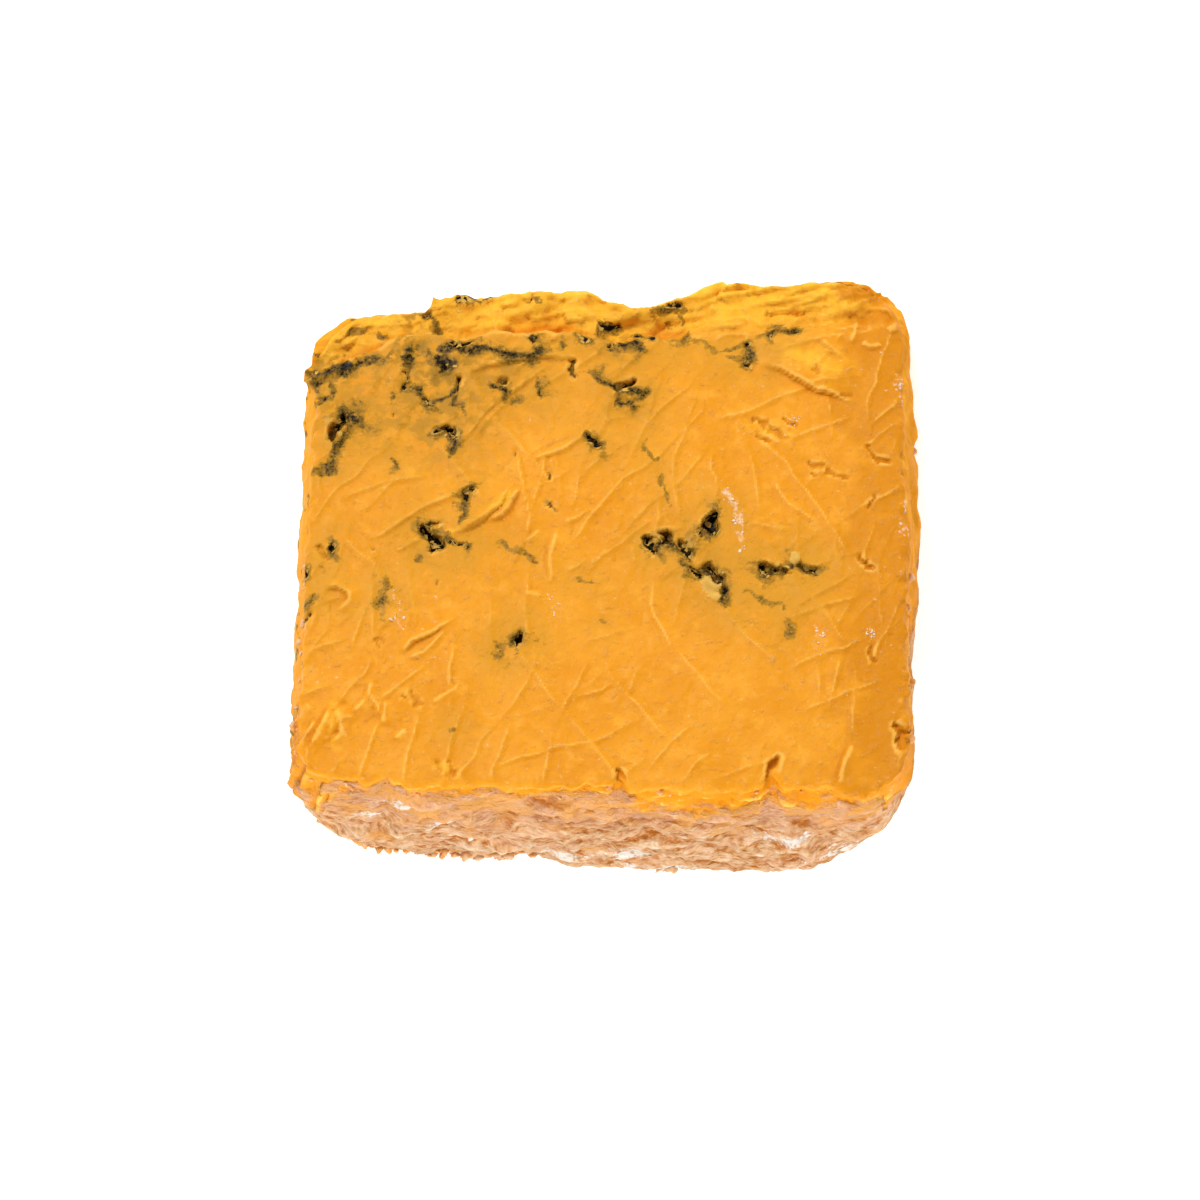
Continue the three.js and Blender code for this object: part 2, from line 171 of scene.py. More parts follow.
# Crumbled pockets in the upper face, black with mould and painted shade: path in photo pixels, half width
# and depth.
POCKETS = [
    ([(331, 437), (337, 428), (344, 419)], 0.9, 2.4),
    ([(437, 430), (451, 431)], 0.7, 1.8),
    ([(458, 387), (459, 378)], 0.6, 1.7),
    ([(499, 381), (505, 382)], 0.6, 1.4),
    ([(506, 391)], 0.4, 0.8),
    ([(618, 389), (626, 385), (634, 381)], 0.85, 1.9),
    ([(424, 529), (430, 536), (436, 542)], 1.05, 2.4),
    ([(439, 546), (432, 551)], 0.6, 1.4),
    ([(428, 524), (435, 523)], 0.5, 1.0),
    ([(450, 542), (466, 546)], 0.45, 0.9),
    ([(646, 538), (650, 545), (654, 551)], 0.7, 1.8),
    ([(667, 531), (671, 535)], 0.95, 2.2),
    ([(681, 544), (689, 557)], 0.65, 1.5),
    ([(716, 513), (711, 519), (705, 526)], 0.9, 2.2),
    ([(700, 532)], 0.45, 0.9),
    ([(706, 566), (714, 570), (722, 578)], 0.9, 2.3),
    ([(693, 570), (701, 576)], 0.6, 1.3),
    ([(725, 588), (723, 596)], 0.45, 1.0),
    ([(761, 567), (766, 571)], 0.6, 1.3),
    ([(779, 569)], 0.5, 1.2),
    ([(806, 566), (815, 572)], 0.5, 1.0),
    ([(521, 636), (516, 641)], 0.8, 1.6),
    ([(296, 624), (303, 620)], 0.8, 1.4),
    ([(460, 299), (479, 297)], 0.7, 0.6),
    ([(531, 298)], 0.75, 0.8),
    ([(668, 304), (681, 302)], 0.4, 0.6),
    ([(748, 343)], 0.6, 1.0),
    ([(747, 364)], 0.5, 1.0),
    ([(574, 361), (573, 370), (575, 377)], 0.45, 1.0),
    ([(437, 583)], 0.45, 0.8),
    ([(372, 549)], 0.35, 0.5),
    ([(308, 574)], 0.55, 0.8),
    ([(588, 437), (595, 441), (596, 446)], 0.45, 0.7),
    ([(549, 472), (550, 481)], 0.4, 0.6),
    ([(550, 503), (556, 512)], 0.4, 0.6),
    ([(450, 342), (456, 344)], 0.65, 1.2),
    ([(463, 344), (470, 342)], 0.45, 0.8),
    ([(443, 355)], 0.45, 0.8),
    ([(445, 368)], 0.4, 0.6),
    ([(405, 371), (403, 387)], 0.35, 0.9),
    ([(600, 323), (616, 322)], 0.45, 0.6),
    ([(610, 346)], 0.55, 0.8),
    ([(578, 335), (587, 339)], 0.4, 0.6),
    ([(634, 332), (654, 338)], 0.5, 0.6),
    ([(531, 338)], 0.5, 0.8),
    ([(319, 368)], 0.7, 0.5),
    ([(393, 416)], 0.35, 0.5),
    ([(426, 397), (430, 404)], 0.5, 0.7),
    ([(362, 325)], 0.4, 0.5),
    ([(426, 313)], 0.55, 0.5),
    ([(310, 671)], 0.4, 0.5),
    ([(514, 456)], 0.35, 0.5),
    ([(470, 490), (466, 499)], 0.5, 0.9),
    ([(331, 546), (331, 552)], 0.5, 0.7),
    ([(772, 334)], 0.4, 0.5),
    ([(795, 332)], 0.4, 0.5),
]

# Grey-green growth round the pockets and along the veins: path in photo pixels and half width.
VEINS = [
    ([(341, 417), (356, 419)], 1.3),
    ([(344, 435), (336, 446), (334, 458), (330, 469)], 0.65),
    ([(326, 467), (311, 473)], 0.45),
    ([(329, 372), (346, 367), (360, 363)], 0.7),
    ([(360, 363), (370, 364), (381, 358), (392, 354)], 0.5),
    ([(330, 384), (334, 395)], 0.6),
    ([(319, 404), (327, 398)], 0.7),
    ([(393, 398)], 0.65),
    ([(440, 352), (455, 345), (480, 347), (494, 350), (515, 356), (529, 357), (539, 350)], 0.8),
    ([(436, 357), (444, 366)], 1.1),
    ([(421, 387), (425, 400), (432, 404), (441, 400), (452, 393), (458, 384)], 0.65),
    ([(455, 397), (463, 409)], 0.45),
    ([(435, 432), (453, 433)], 0.8),
    ([(452, 437), (452, 450)], 0.6),
    ([(393, 460), (396, 468)], 0.55),
    ([(493, 385), (505, 390)], 0.7),
    ([(515, 401)], 0.5),
    ([(538, 386), (541, 396)], 0.8),
    ([(563, 347)], 0.75),
    ([(596, 378), (608, 385), (620, 390), (634, 391), (648, 392)], 0.85),
    ([(617, 401), (632, 404)], 0.75),
    ([(642, 446), (653, 460)], 0.45),
    ([(474, 486), (465, 498), (465, 510), (460, 521)], 0.65),
    ([(420, 528), (432, 536), (440, 546)], 1.2),
    ([(448, 541), (468, 547)], 0.8),
    ([(418, 558)], 0.55),
    ([(504, 544), (512, 551), (525, 550), (533, 560)], 0.45),
    ([(331, 544), (331, 554)], 0.85),
    ([(321, 567)], 0.55),
    ([(308, 573)], 0.8),
    ([(311, 599), (303, 607), (298, 613), (297, 622)], 0.7),
    ([(386, 580), (388, 590)], 0.5),
    ([(382, 595), (376, 606)], 0.55),
    ([(499, 643), (500, 656)], 0.5),
    ([(578, 581), (594, 583)], 0.4),
    ([(602, 621)], 0.35),
    ([(645, 540), (656, 551), (668, 536), (684, 548), (690, 560)], 0.75),
    ([(681, 564), (694, 571)], 0.6),
    ([(714, 514), (704, 528)], 1.3),
    ([(692, 568), (706, 570), (720, 578), (726, 592)], 1.2),
    ([(724, 590), (721, 602)], 0.7),
    ([(762, 567), (772, 572)], 1.3),
    ([(782, 573), (792, 567)], 1.1),
    ([(803, 569), (813, 573)], 1.2),
    ([(745, 591), (758, 597), (771, 604), (783, 607)], 0.45),
    ([(789, 623), (789, 635)], 0.5),
    ([(460, 299), (479, 298)], 0.55),
    ([(531, 298), (538, 302)], 0.3),
    ([(664, 308), (684, 306)], 0.6),
    ([(668, 321), (683, 315)], 0.3),
    ([(599, 323), (617, 323)], 0.7),
    ([(612, 349), (630, 340), (642, 348)], 0.6),
    ([(633, 332), (655, 338)], 0.5),
    ([(577, 335), (589, 340)], 0.6),
    ([(770, 334), (781, 331), (796, 330)], 0.75),
    ([(748, 343), (752, 353), (747, 365)], 0.7),
    ([(685, 338), (700, 341), (716, 352), (730, 351), (745, 346)], 0.35),
    ([(757, 337), (786, 331)], 0.35),
    ([(742, 360), (728, 357)], 0.5),
    ([(688, 336), (682, 342)], 0.6),
    ([(521, 637), (512, 641)], 1.1),
    ([(313, 366), (325, 371)], 0.9),
    ([(304, 372)], 2.0),
    ([(453, 730)], 0.5),
    ([(586, 434), (597, 445)], 0.7),
    ([(405, 356), (404, 389)], 0.5),
    ([(418, 346), (415, 356)], 0.5),
    ([(366, 350)], 0.45),
    ([(380, 334)], 0.5),
    ([(426, 313), (437, 321)], 0.6),
    ([(351, 328), (366, 327)], 0.5),
    ([(660, 478), (671, 506)], 0.3),
]
HALO_REACH = 2.2  # how far the paste is tinted olive round a vein
HALO_GAIN = 1.5
HALO_END = 4  # the tint is gone at this many reaches
HALO_ON_LEDGE = 0.5
VEIN_SPREAD = 1.5  # a factor on the veins' half widths
VEIN_FULL = 0.75  # half width of a vein that is dark in its middle; thinner ones are fainter
MOULD_OVER_EDGE = 0.8  # how fast the mould fades below the upper edge, for each millimetre
POCKET_LEAST, VEIN_LEAST = -1, -2  # how far outside the rows count, in half widths

# Cracks and gouges without mould: path in photo pixels, half width and depth.
GOUGES = [
    ([(766, 567), (773, 571)], 1.0, 1.5),
    ([(783, 571), (789, 573)], 0.8, 1.3),
    ([(802, 566), (808, 570)], 0.8, 1.4),
    ([(842, 396), (851, 396)], 0.35, 0.5),
    ([(768, 311), (790, 312), (809, 310)], 1.2, 1.0),
    ([(816, 364), (816, 374)], 0.35, 0.5),
    ([(868, 446), (872, 455), (880, 461), (887, 462)], 0.4, 0.6),
    ([(808, 463), (814, 467), (820, 464)], 0.35, 0.5),
    ([(813, 474)], 0.35, 0.5),
    ([(827, 469), (845, 477)], 0.4, 0.5),
    ([(874, 496), (869, 507)], 0.4, 0.6),
    ([(860, 560), (872, 568)], 0.5, 0.8),
    ([(872, 645), (870, 653), (874, 660)], 0.35, 0.6),
    ([(752, 420), (766, 424)], 0.5, 0.6),
    ([(769, 430), (784, 436)], 0.5, 0.6),
    ([(785, 420), (797, 426)], 0.5, 0.6),
    ([(757, 436), (768, 441)], 0.5, 0.6),
    ([(774, 763), (771, 777)], 0.7, 1.2),
    ([(618, 777)], 0.8, 1.2),
    ([(318, 546), (325, 558)], 0.6, 0.9),
    ([(404, 697)], 0.4, 0.5),
    ([(413, 696), (417, 706)], 0.5, 0.4),
    ([(382, 639), (377, 644)], 0.35, 0.4),
    ([(678, 620), (678, 628)], 0.3, 0.4),
    ([(437, 762), (441, 771)], 0.35, 0.5),
    ([(449, 762), (453, 771)], 0.35, 0.5),
    ([(903, 732), (902, 746)], 0.7, 1.2),
]

# Folds pressed into the upper face: path in photo pixels and height.
FOLDS = [
    ([(441, 533), (467, 528), (479, 520), (497, 509), (506, 495), (514, 478)], 1.0),
    ([(365, 546), (397, 524), (440, 501), (463, 490)], 0.5),
    ([(394, 552), (424, 540)], 0.4),
    ([(482, 522), (500, 516), (512, 500), (523, 485)], 0.8),
    ([(401, 655), (414, 641), (435, 633), (459, 615)], 0.75),
    ([(404, 657), (424, 651), (441, 637), (457, 621)], 0.4),
    ([(450, 379), (485, 366), (524, 358), (556, 356), (588, 358)], 0.7),
    ([(458, 452), (472, 432), (490, 410), (510, 392), (535, 374), (560, 361)], 0.6),
    ([(472, 442), (492, 417), (515, 397)], 0.4),
    ([(515, 464), (546, 455), (564, 447), (584, 434), (613, 419)], 0.5),
    ([(512, 470), (540, 447), (570, 434), (584, 427)], 0.3),
    ([(606, 393), (629, 397), (649, 397)], 0.5),
    ([(622, 409), (633, 408), (649, 399)], 0.45),
    ([(557, 523), (553, 544), (548, 564), (548, 588)], 0.6),
    ([(542, 596), (521, 592)], 0.4),
    ([(523, 485), (527, 516), (523, 533)], 0.4),
    ([(541, 526), (531, 536), (520, 542)], 0.4),
    ([(559, 520), (575, 515), (593, 507)], 0.35),
    ([(562, 573), (590, 556)], 0.35),
    ([(605, 545), (621, 535)], 0.35),
    ([(630, 543), (633, 565)], 0.3),
    ([(655, 566), (651, 606), (660, 630), (674, 657)], 0.4),
    ([(774, 474), (789, 502), (829, 536)], 0.3),
    ([(747, 522), (789, 531)], 0.3),
    ([(459, 682), (445, 692), (430, 705)], 0.45),
    ([(406, 728), (394, 741)], 0.45),
    ([(372, 680), (366, 699)], 0.4),
    ([(386, 697), (384, 727)], 0.5),
    ([(317, 592), (331, 586), (348, 593), (345, 605), (330, 613)], 0.7),
    ([(338, 441), (346, 432), (351, 424)], 0.7),
    ([(333, 704), (326, 717), (317, 734), (304, 758)], 0.8),
    ([(333, 706), (340, 721), (341, 735), (330, 745)], 0.9),
    ([(332, 714), (331, 726), (329, 738)], 0.5),
    ([(317, 717), (304, 734), (299, 756)], 0.7),
    ([(311, 700), (298, 711), (292, 722)], 0.6),
    ([(309, 744), (302, 759), (300, 770)], 0.5),
    ([(371, 680), (368, 695), (378, 705), (381, 720)], 0.5),
    ([(368, 695), (361, 705), (352, 712)], 0.4),
    ([(741, 307), (770, 302), (793, 306)], 0.6),
    ([(788, 320), (812, 313), (840, 300), (862, 290)], 0.7),
    ([(857, 319), (868, 308), (885, 311), (899, 324)], 0.7),
    ([(860, 342), (870, 347), (887, 345)], 0.5),
    ([(850, 346), (855, 332), (856, 318)], 0.4),
    ([(822, 337), (829, 346), (846, 359)], 0.5),
    ([(702, 329), (722, 325), (748, 328)], 0.5),
    ([(712, 342), (725, 334), (745, 336), (750, 345)], 0.5),
    ([(884, 328), (893, 330), (901, 322)], 0.7),
    ([(854, 660), (852, 700), (850, 738)], 0.25),
    ([(852, 741), (846, 757), (843, 770), (839, 787)], 0.9),
]
FOLD_GENTLE = 1.3
FOLD_STEEP = 0.3
FOLD_LIFT = 1.5  # a factor on all the folds' heights
FOLD_TAPER = 0.3  # share of a fold's length over which each end dies away
FOLD_BEND = ((0.5, 5),)
FOLD_SAMPLES = 6
FOLD_REACH = 6

# Lumps and smears that stand up at the edges: place in photo pixels, radius and height.
LUMPS = [
    ((303, 374), 3.0, 2.4),
    ((318, 369), 2.2, 0.9),
    ((291, 718), 1.5, 1.2),
    ((432, 299), 1.4, 1.3),
    ((465, 298), 2.4, 0.9),
    ((335, 724), 3.2, 1.3),
    ((446, 768), 2.0, 0.5),
    ((321, 734), 2.6, 1.0),
    ((783, 330), 2.6, 0.8),
    ((873, 312), 3.2, 0.9),
    ((708, 581), 0.9, 0.7),
    ((713, 587), 1.2, 0.9),
    ((717, 597), 1.1, 0.9),
    ((796, 559), 1.2, 1.0),
    ((777, 565), 0.9, 0.7),
    ((768, 577), 0.8, 0.6),
    ((340, 434), 0.8, 0.6),
]

# Khaki crumbs that lie in the mould: place in photo pixels and radius.
CHIPS = [
    ((708, 581), 1.4), ((713, 587), 2.0), ((717, 597), 1.8), ((711, 593), 1.2), ((796, 559), 1.4),
    ((777, 565), 1.1), ((768, 577), 0.8), ((340, 434), 0.7), ((446, 435), 0.6), ((653, 556), 0.5),
    ((722, 573), 0.5), ((625, 390), 0.6), ((440, 526), 0.6), ((788, 567), 0.7), ((455, 366), 0.7),
]

# Places where the mould tints the paste olive: place in photo pixels, radius and strength.
OLIVE = [
    ((416, 352), 6, 1.0), ((440, 374), 8, 0.9), ((470, 356), 6, 0.7), ((510, 356), 6, 0.5),
    ((345, 369), 5, 0.8), ((372, 362), 5, 0.7), ((600, 346), 6, 0.5), ((632, 344), 5, 0.7),
    ((622, 396), 6, 0.6), ((455, 402), 5, 0.6), ((325, 400), 5, 0.5), ((500, 388), 5, 0.5),
    ((348, 428), 5, 0.6), ((304, 373), 6, 1.6), ((412, 312), 5, 0.5), ((400, 384), 4, 0.5),
    ((432, 540), 6, 0.4), ((706, 575), 7, 0.4), ((680, 548), 6, 0.3), ((540, 366), 6, 0.4),
    ((430, 395), 24, 0.5), ((365, 420), 18, 0.4), ((500, 370), 16, 0.4),
]

# Torn, lighter yellow places on the upper face: path in photo pixels, half width and strength.
TORN = [
    ([(333, 707), (334, 724), (331, 741)], 1.0, 0.3),
    ([(447, 531), (478, 521), (500, 505), (511, 487)], 0.9, 0.6),
    ([(322, 730)], 1.0, 0.5),
    ([(790, 352), (815, 360), (845, 378)], 3.4, 0.5),
    ([(438, 766), (452, 768)], 1.2, 0.4),
    ([(745, 424), (795, 436)], 1.3, 0.3),
    ([(340, 335), (360, 340)], 2.2, 1),
    ([(709, 583), (717, 594)], 0.8, 1),
    ([(764, 577), (775, 578)], 0.6, 1),
    ([(346, 433), (351, 425)], 0.6, 1),
]
TORN_GAIN = 1.8
TORN_RELIEF = 0.6  # how much less the painted highlight on crests and painted shade in cracks count on torn places

# Rows of pale crystals: path in photo pixels and strength.
CRYSTAL_ROWS = [
    ([(725, 490), (732, 502), (736, 519), (741, 535), (745, 549)], 1.0),
    ([(392, 591), (396, 602), (397, 615), (402, 629)], 0.6),
    ([(550, 596), (556, 611), (560, 624)], 0.4),
    ([(817, 627), (818, 637), (820, 646), (813, 655)], 0.5),
    ([(797, 418), (789, 426)], 0.5),
    ([(871, 630), (873, 637)], 0.9),
]
CRYSTALS_PER_ROW = 26
CRYSTAL_SPREAD = 0.45
CRYSTAL_SIZES = (0.09, 0.3)
CRYSTAL_SKEW = 2  # a power that makes most crystals small

# White bloom on the upper face's right edge: place in photo pixels and radius.
BLOOM = [((899, 383), 3.2), ((910, 507), 2.8), ((906, 530), 2.8), ((903, 401), 1.8)]
BLOOM_SHARE = 0.45

# Where the rind begins under the upper edge, along the front: place across and depth under the edge.
RIND_STARTS = [
    (-51, 0.5), (-36, 1), (-20, 2.5), (-8, 3), (0, 3.5), (6, 6), (16, 7), (24, 6), (36, 5), (51, 3),
]
RIND_START_RIGHT = 12
RIGHT_END_TURN = 0.7  # how squarely a side faces the right where it counts as the right end
RIND_EDGE = 3
RIND_BORDER = {"long": 3, "high": 1.6}
RIND_BORDER_FINE = {"long": 1.1, "high": 0.8, "share": 0.6}
LIP_REACH = 1.8  # how far down the crumbled lip of the paste reaches, painted lighter as torn paste and with a painted highlight
LIP_HIGHLIGHT = 0.6
PINK_DEPTHS = (5, 20)  # above these depths under the edge the rind is pinker and more orange, and painted shade makes it darker
RIPE = (32, 46)  # across these places, towards the rind, the paste turns deeper in colour
RIPE_ON_SIDES = 0.6
STEP_FOOT_SHADE = (0.3, 2.4)  # behind the break, the painted shade at the foot of the step ends between these
STEP_SHADE_PATCH = 7
STEP_SHADE_SHOWS = (-0.5, 0.3)

# White mould on the front rind: place across, depth under the upper edge, half length and half height.
MOULD = [
    (-33, 8, 5, 2), (-27, 14, 4, 2), (-39, 14, 3, 2), (-8, 30, 9, 3.5), (4, 26, 5, 3.5),
    (9, 33, 10, 2.5), (40, 27, 9, 5), (-22, 22, 5, 2.5), (30, 18, 6, 2.5),
]
DARK_RIND = [(24, 33, 8, 4), (34, 31, 5, 4), (-4, 33, 7, 3), (-40, 22, 8, 6), (-44, 6, 6, 4)]
PATCH_RAGGED = {"swing": 0.5, "long": 2.2, "high": 1.4}

# Mesh steps across, from front to back, and up the sides.
STEPS_X = 266
STEPS_Y = 220
STEPS_UP = 40
FOOT_INSET = 1.2

# Painted highlight on crests and painted shade in cracks: how many mesh steps away the neighbours reach, and
# the rise over them that counts in full on the upper surface and on the sides.
RELIEF_STEPS = 2
RELIEF_ON_TOP = 0.2
RELIEF_ON_SIDES = 0.4

# Loose crumbs: how many cling to each place, and their smallest and largest radius.
CRUMBS_AT_FOOT = 300
CRUMBS_AT_EDGE = 80
CRUMB_SIZES = (0.16, 0.85)
CRUMB_ROUGH = 0.6
CRUMB_CLUSTERS = 5
CRUMB_HEIGHTS = (0.3, 4)  # over the floor
CRUMB_DEPTH = 4  # under the upper edge
CRUMB_SKEW = 3  # a power that makes most crumbs small
CRUMB_LIFT = 0.2  # how far a crumb's middle stands off the surface, as a share of its radius
CRUMB_STRETCH = (0.45, 1.3)
CRUMB_LUMPS = 1.3
NOISE_ROOM = 50
LUMP_DEPTH = 4  # how far down the sides the lumps reach
LUMP_RISE = 0.7  # how far they go up beside out
FLOOR_LEVEL = (-np.inf, -np.inf, 0)


def smoothstep(value, low, high):
    """0 below low and 1 above high, with a soft change between them."""
    share = np.clip((value - low) / (high - low), 0, 1)
    return share * share * (3 - 2 * share)


def lerp(a, b, share):
    """The value at a share of the way from a to b."""
    return a + (b - a) * share


def hill(distance):
    """1 in the middle, falling to 0 at a distance of 1."""
    rest = np.clip(1 - distance * distance, 0, 1)
    return rest * rest


def round_off(distance, radius):
    """The drop of a rounded corner or edge, at a distance from the sharp one."""
    left = np.clip(radius - distance, 0, radius)
    return radius - np.sqrt(np.maximum(radius * radius - left * left, 0))


def lattice_value(i, j, k):
    """A fixed random value from -1 to 1 for each point of a whole-number lattice."""
    swing = HASH_SPREAD * np.sin(i * HASH[0] + j * HASH[1] + k * HASH[2])
    return 2 * (swing - np.floor(swing)) - 1


def noise(x, y, z):
    """Smooth noise from -1 to 1, with features about one unit long."""
    x, y, z = np.broadcast_arrays(x, y, z)
    i, j, k = np.floor(x), np.floor(y), np.floor(z)
    a, b, c = (f * f * (3 - 2 * f) for f in (x - i, y - j, z - k))

    def edge(dj, dk):
        return lerp(lattice_value(i, j + dj, k + dk), lattice_value(i + 1, j + dj, k + dk), a)

    def face(dk):
        return lerp(edge(0, dk), edge(1, dk), b)

    return lerp(face(0), face(1), c)


def crags(x, y, z, swing):
    """Noise of two sizes."""
    rise, length = swing
    a, b, c = x / length, y / length, z / length
    fine = noise(FINE_SCALE * a + FINE_OFFSET, FINE_SCALE * b, FINE_SCALE * c)
    return rise * lerp(noise(a, b, c), fine, FINE_SHARE)


def sharp_crests(x, y, z):
    """Noise with sharp crests at 1 and soft valleys down to -1."""
    return 1 - 2 * np.abs(noise(x, y, z))


def moved(x, y, swings, layers):
    """Places moved at random, once for each swing and its length."""
    for rise, length in swings:
        shift_x = rise * noise(x / length, y / length, layers[0])
        shift_y = rise * noise(x / length, y / length, layers[1])
        x, y = x + shift_x, y + shift_y
    return x, y


def turned(x, y, angle):
    """Places in a frame turned by an angle."""
    return x * math.cos(angle) + y * math.sin(angle), y * math.cos(angle) - x * math.sin(angle)


def facets(x, y, size, rise):
    """Tilted flat chips, one for each cell of a jittered grid."""
    i, j = np.floor(x / size), np.floor(y / size)
    nearest = np.full(np.shape(x), np.inf)
    height = np.zeros(np.shape(x))
    for di in (-1, 0, 1):
        for dj in (-1, 0, 1):
            a, b = i + di, j + dj
            drawn = {name: lattice_value(a, b, layer) for name, layer in FACET_LAYERS.items()}
            dx = x / size - (a + 0.5 + FACET_JITTER * drawn["x"])
            dy = y / size - (b + 0.5 + FACET_JITTER * drawn["y"])
            away = dx * dx + dy * dy
            tilt = drawn["tilt_x"] * dx + drawn["tilt_y"] * dy
            height = np.where(away < nearest, rise * (FACET_LIFT * drawn["height"] + tilt), height)
            nearest = np.minimum(away, nearest)
    return height


def spline(points, samples):
    """Points of a smooth curve through the given points."""
    ends = np.array([points[0], *points, points[-1]], float)
    place = np.linspace(0, len(points) - 1, samples + 1)
    start = np.minimum(place.astype(int), len(points) - 2)
    t = (place - start)[:, None]
    p0, p1, p2, p3 = (ends[start + n] for n in range(4))
    v0, v1 = (p2 - p0) / 2, (p3 - p1) / 2
    return (2 * p1 - 2 * p2 + v0 + v1) * t**3 + (3 * p2 - 3 * p1 - 2 * v0 - v1) * t**2 + v0 * t + p1


BREAK_POINTS = spline(BREAK_LINE, BREAK_SAMPLES)


def break_at(x):
    """How far back the upper face reaches at a place across the wedge."""
    return np.interp(x, BREAK_POINTS[:, 0], BREAK_POINTS[:, 1]) + crags(x, 0, LAYER["break"], BREAK_RAGGED)


def corner_radius(corner, level):
    """The corner radius at a level from 0, the foot, to 1, the upper face."""
    return lerp(corner[0], corner[1], level**CORNER_EASE)


def outwards(x, y):
    """The way out of the wedge at a point of its outline, seen from above."""
    out_x = (2 * x / WIDTH) ** OUTWARD_POWER
    out_y = (2 * (y - FRONT_Y) / DEPTH - 1) ** OUTWARD_POWER
    length = np.maximum(np.hypot(out_x, out_y), 1e-12)
    return out_x / length, out_y / length


def strayed(x, y, level):
    """A point of the true rectangle, moved to where the uneven outline has it."""
    back_share = (y - FRONT_Y) / DEPTH
    right_share = (x - LEFT_X) / WIDTH
    at_back = smoothstep(back_share, 1 - EDGE_SHARE, 1)
    at_front = 1 - smoothstep(back_share, 0, EDGE_SHARE)
    lean = LEFT_LEAN * back_share * (1 - right_share) - RIGHT_LEAN * (1 - back_share) * right_share
    slant = x * lerp(FRONT_SLANT, BACK_SLANT, back_share)
    bay = BACK_BAY["deep"] * hill((x - BACK_BAY["x"]) / BACK_BAY["half"])
    step = BACK_STEP["deep"] * (1 - smoothstep(x, BACK_STEP["start"], BACK_STEP["end"]))
    lip_level = 1 - smoothstep(level, 0, FOOT_LIP["level"])
    lip = FOOT_LIP["deep"] * smoothstep(x, FOOT_LIP["start"], FOOT_LIP["end"]) * lip_level
    wander = crags(x, y, OUTLINE_WANDER[1] * level, OUTLINE_WANDER)
    out_x, out_y = outwards(x, y)
    return x + lean + out_x * wander, y + slant - (bay + step) * at_back - lip * at_front + out_y * wander


def outline(side, t, level):
    """A point of the outline, seen from above, at a level. Sides go round from the front."""
    fl, fr, br, bl = (corner_radius(c, level) for c in (FRONT_LEFT, FRONT_RIGHT, BACK_RIGHT, BACK_LEFT))
    swell = np.sin(np.pi * level)
    left = LEFT_X - LEFT_BULGE * swell + TOP_INSET * level
    right = RIGHT_X + RIGHT_BULGE * swell - TOP_INSET * level
    front = FRONT_Y + WHEEL_RADIUS * (1 - np.cos(WEDGE_ANGLE * level))
    if side == "front":
        x = lerp(left + ARC_SHARE * fl, right - ARC_SHARE * fr, t)
        y = front + round_off(x - left, fl) + round_off(right - x, fr)
    elif side == "right":
        y = lerp(front + ARC_SHARE * fr, BACK_Y - ARC_SHARE * br, t)
        x = right - round_off(y - front, fr) - round_off(BACK_Y - y, br)
    elif side == "back":
        x = lerp(right - ARC_SHARE * br, left + ARC_SHARE * bl, t)
        y = BACK_Y - round_off(x - left, bl) - round_off(right - x, br)
    else:
        y = lerp(BACK_Y - ARC_SHARE * bl, front + ARC_SHARE * fl, t)
        x = left + round_off(y - front, fl) + round_off(BACK_Y - y, bl)
    return strayed(x, y, level)


def side_relief(x, y, height, level, rind_crags):
    """How far a side's roughness pushes a point out. The cut left end is smoother than the rind."""
    z = height * level
    rind = crags(x, y, z * RIND_LAYERING, rind_crags)
    cut_end = crags(x, y, z, CUT_END_CRAGS)
    rough = lerp(cut_end, rind, smoothstep(x, LEFT_X, LEFT_X + CUT_END_DEPTH))
    share = np.sin(np.pi * level) * np.clip(height / ROUGH_HEIGHT, 0, 1)
    splits = np.maximum.reduce([deep * hill((x - at) / wide) for at, wide, deep in SPLITS])
    split_level = np.where(y < 0, smoothstep(level, 1 - SPLIT_REACH, 1), 0)
    return rough * share - split_level * splits


def plain_height(x, y):
    """The cut face and the ledge without their finer relief, which settle the height of the sides."""
    cut = (AXIS_Y - y) * WEDGE_SLOPE
    ledge = LEDGE_HEIGHT - LEDGE_FALL * (y - break_at(x)) + crags(x, y, LAYER["ledge"], BROKEN_CRAGS)
    return np.where(y > break_at(x), np.minimum(cut, ledge), cut)


def side_points(side, t, level, height_at, rind_crags):
    """Points of one side, at shares t along it and levels up it."""
    rim_x, rim_y = outline(side, t, np.ones_like(level))
    x, y = outline(side, t, level)
    height = np.maximum(height_at(rim_x, rim_y) - EDGE_ROUND / 2, THINNEST)
    out = side_relief(x, y, height, level, rind_crags) - round_off(height * level, FOOT_ROUND)
    out_x, out_y = outwards(x, y)
    return np.stack([x + out_x * out, y + out_y * out, height * level], axis=-1)


SIDES = (("front", STEPS_X), ("right", STEPS_Y), ("back", STEPS_X), ("left", STEPS_Y))


def ring(level, height_at, rind_crags):
    """One turn round the sides at a level, from the front left corner."""
    return np.concatenate([
        side_points(side, np.arange(steps) / steps, np.full(steps, float(level)), height_at, rind_crags)
        for side, steps in SIDES
    ])


def box_middle():
    """The middle of the wedge's box in the frame that it is drawn in."""
    levels = np.linspace(0, 1, STEPS_UP // 2)
    rings = np.concatenate([ring(level, plain_height, RIND_CRAGS) for level in levels])
    return (rings.min(axis=0) + rings.max(axis=0)) / 2


MIDDLE = box_middle()


def camera_axes():
    """The camera's place, and its right, up and backward directions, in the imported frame."""
    back = np.array([0, -math.sin(CAMERA_TILT), math.cos(CAMERA_TILT)])
    right = np.array([1.0, 0, 0])
    return np.array(CAMERA_AIM) + CAMERA_DISTANCE * back, right, np.cross(back, right), back


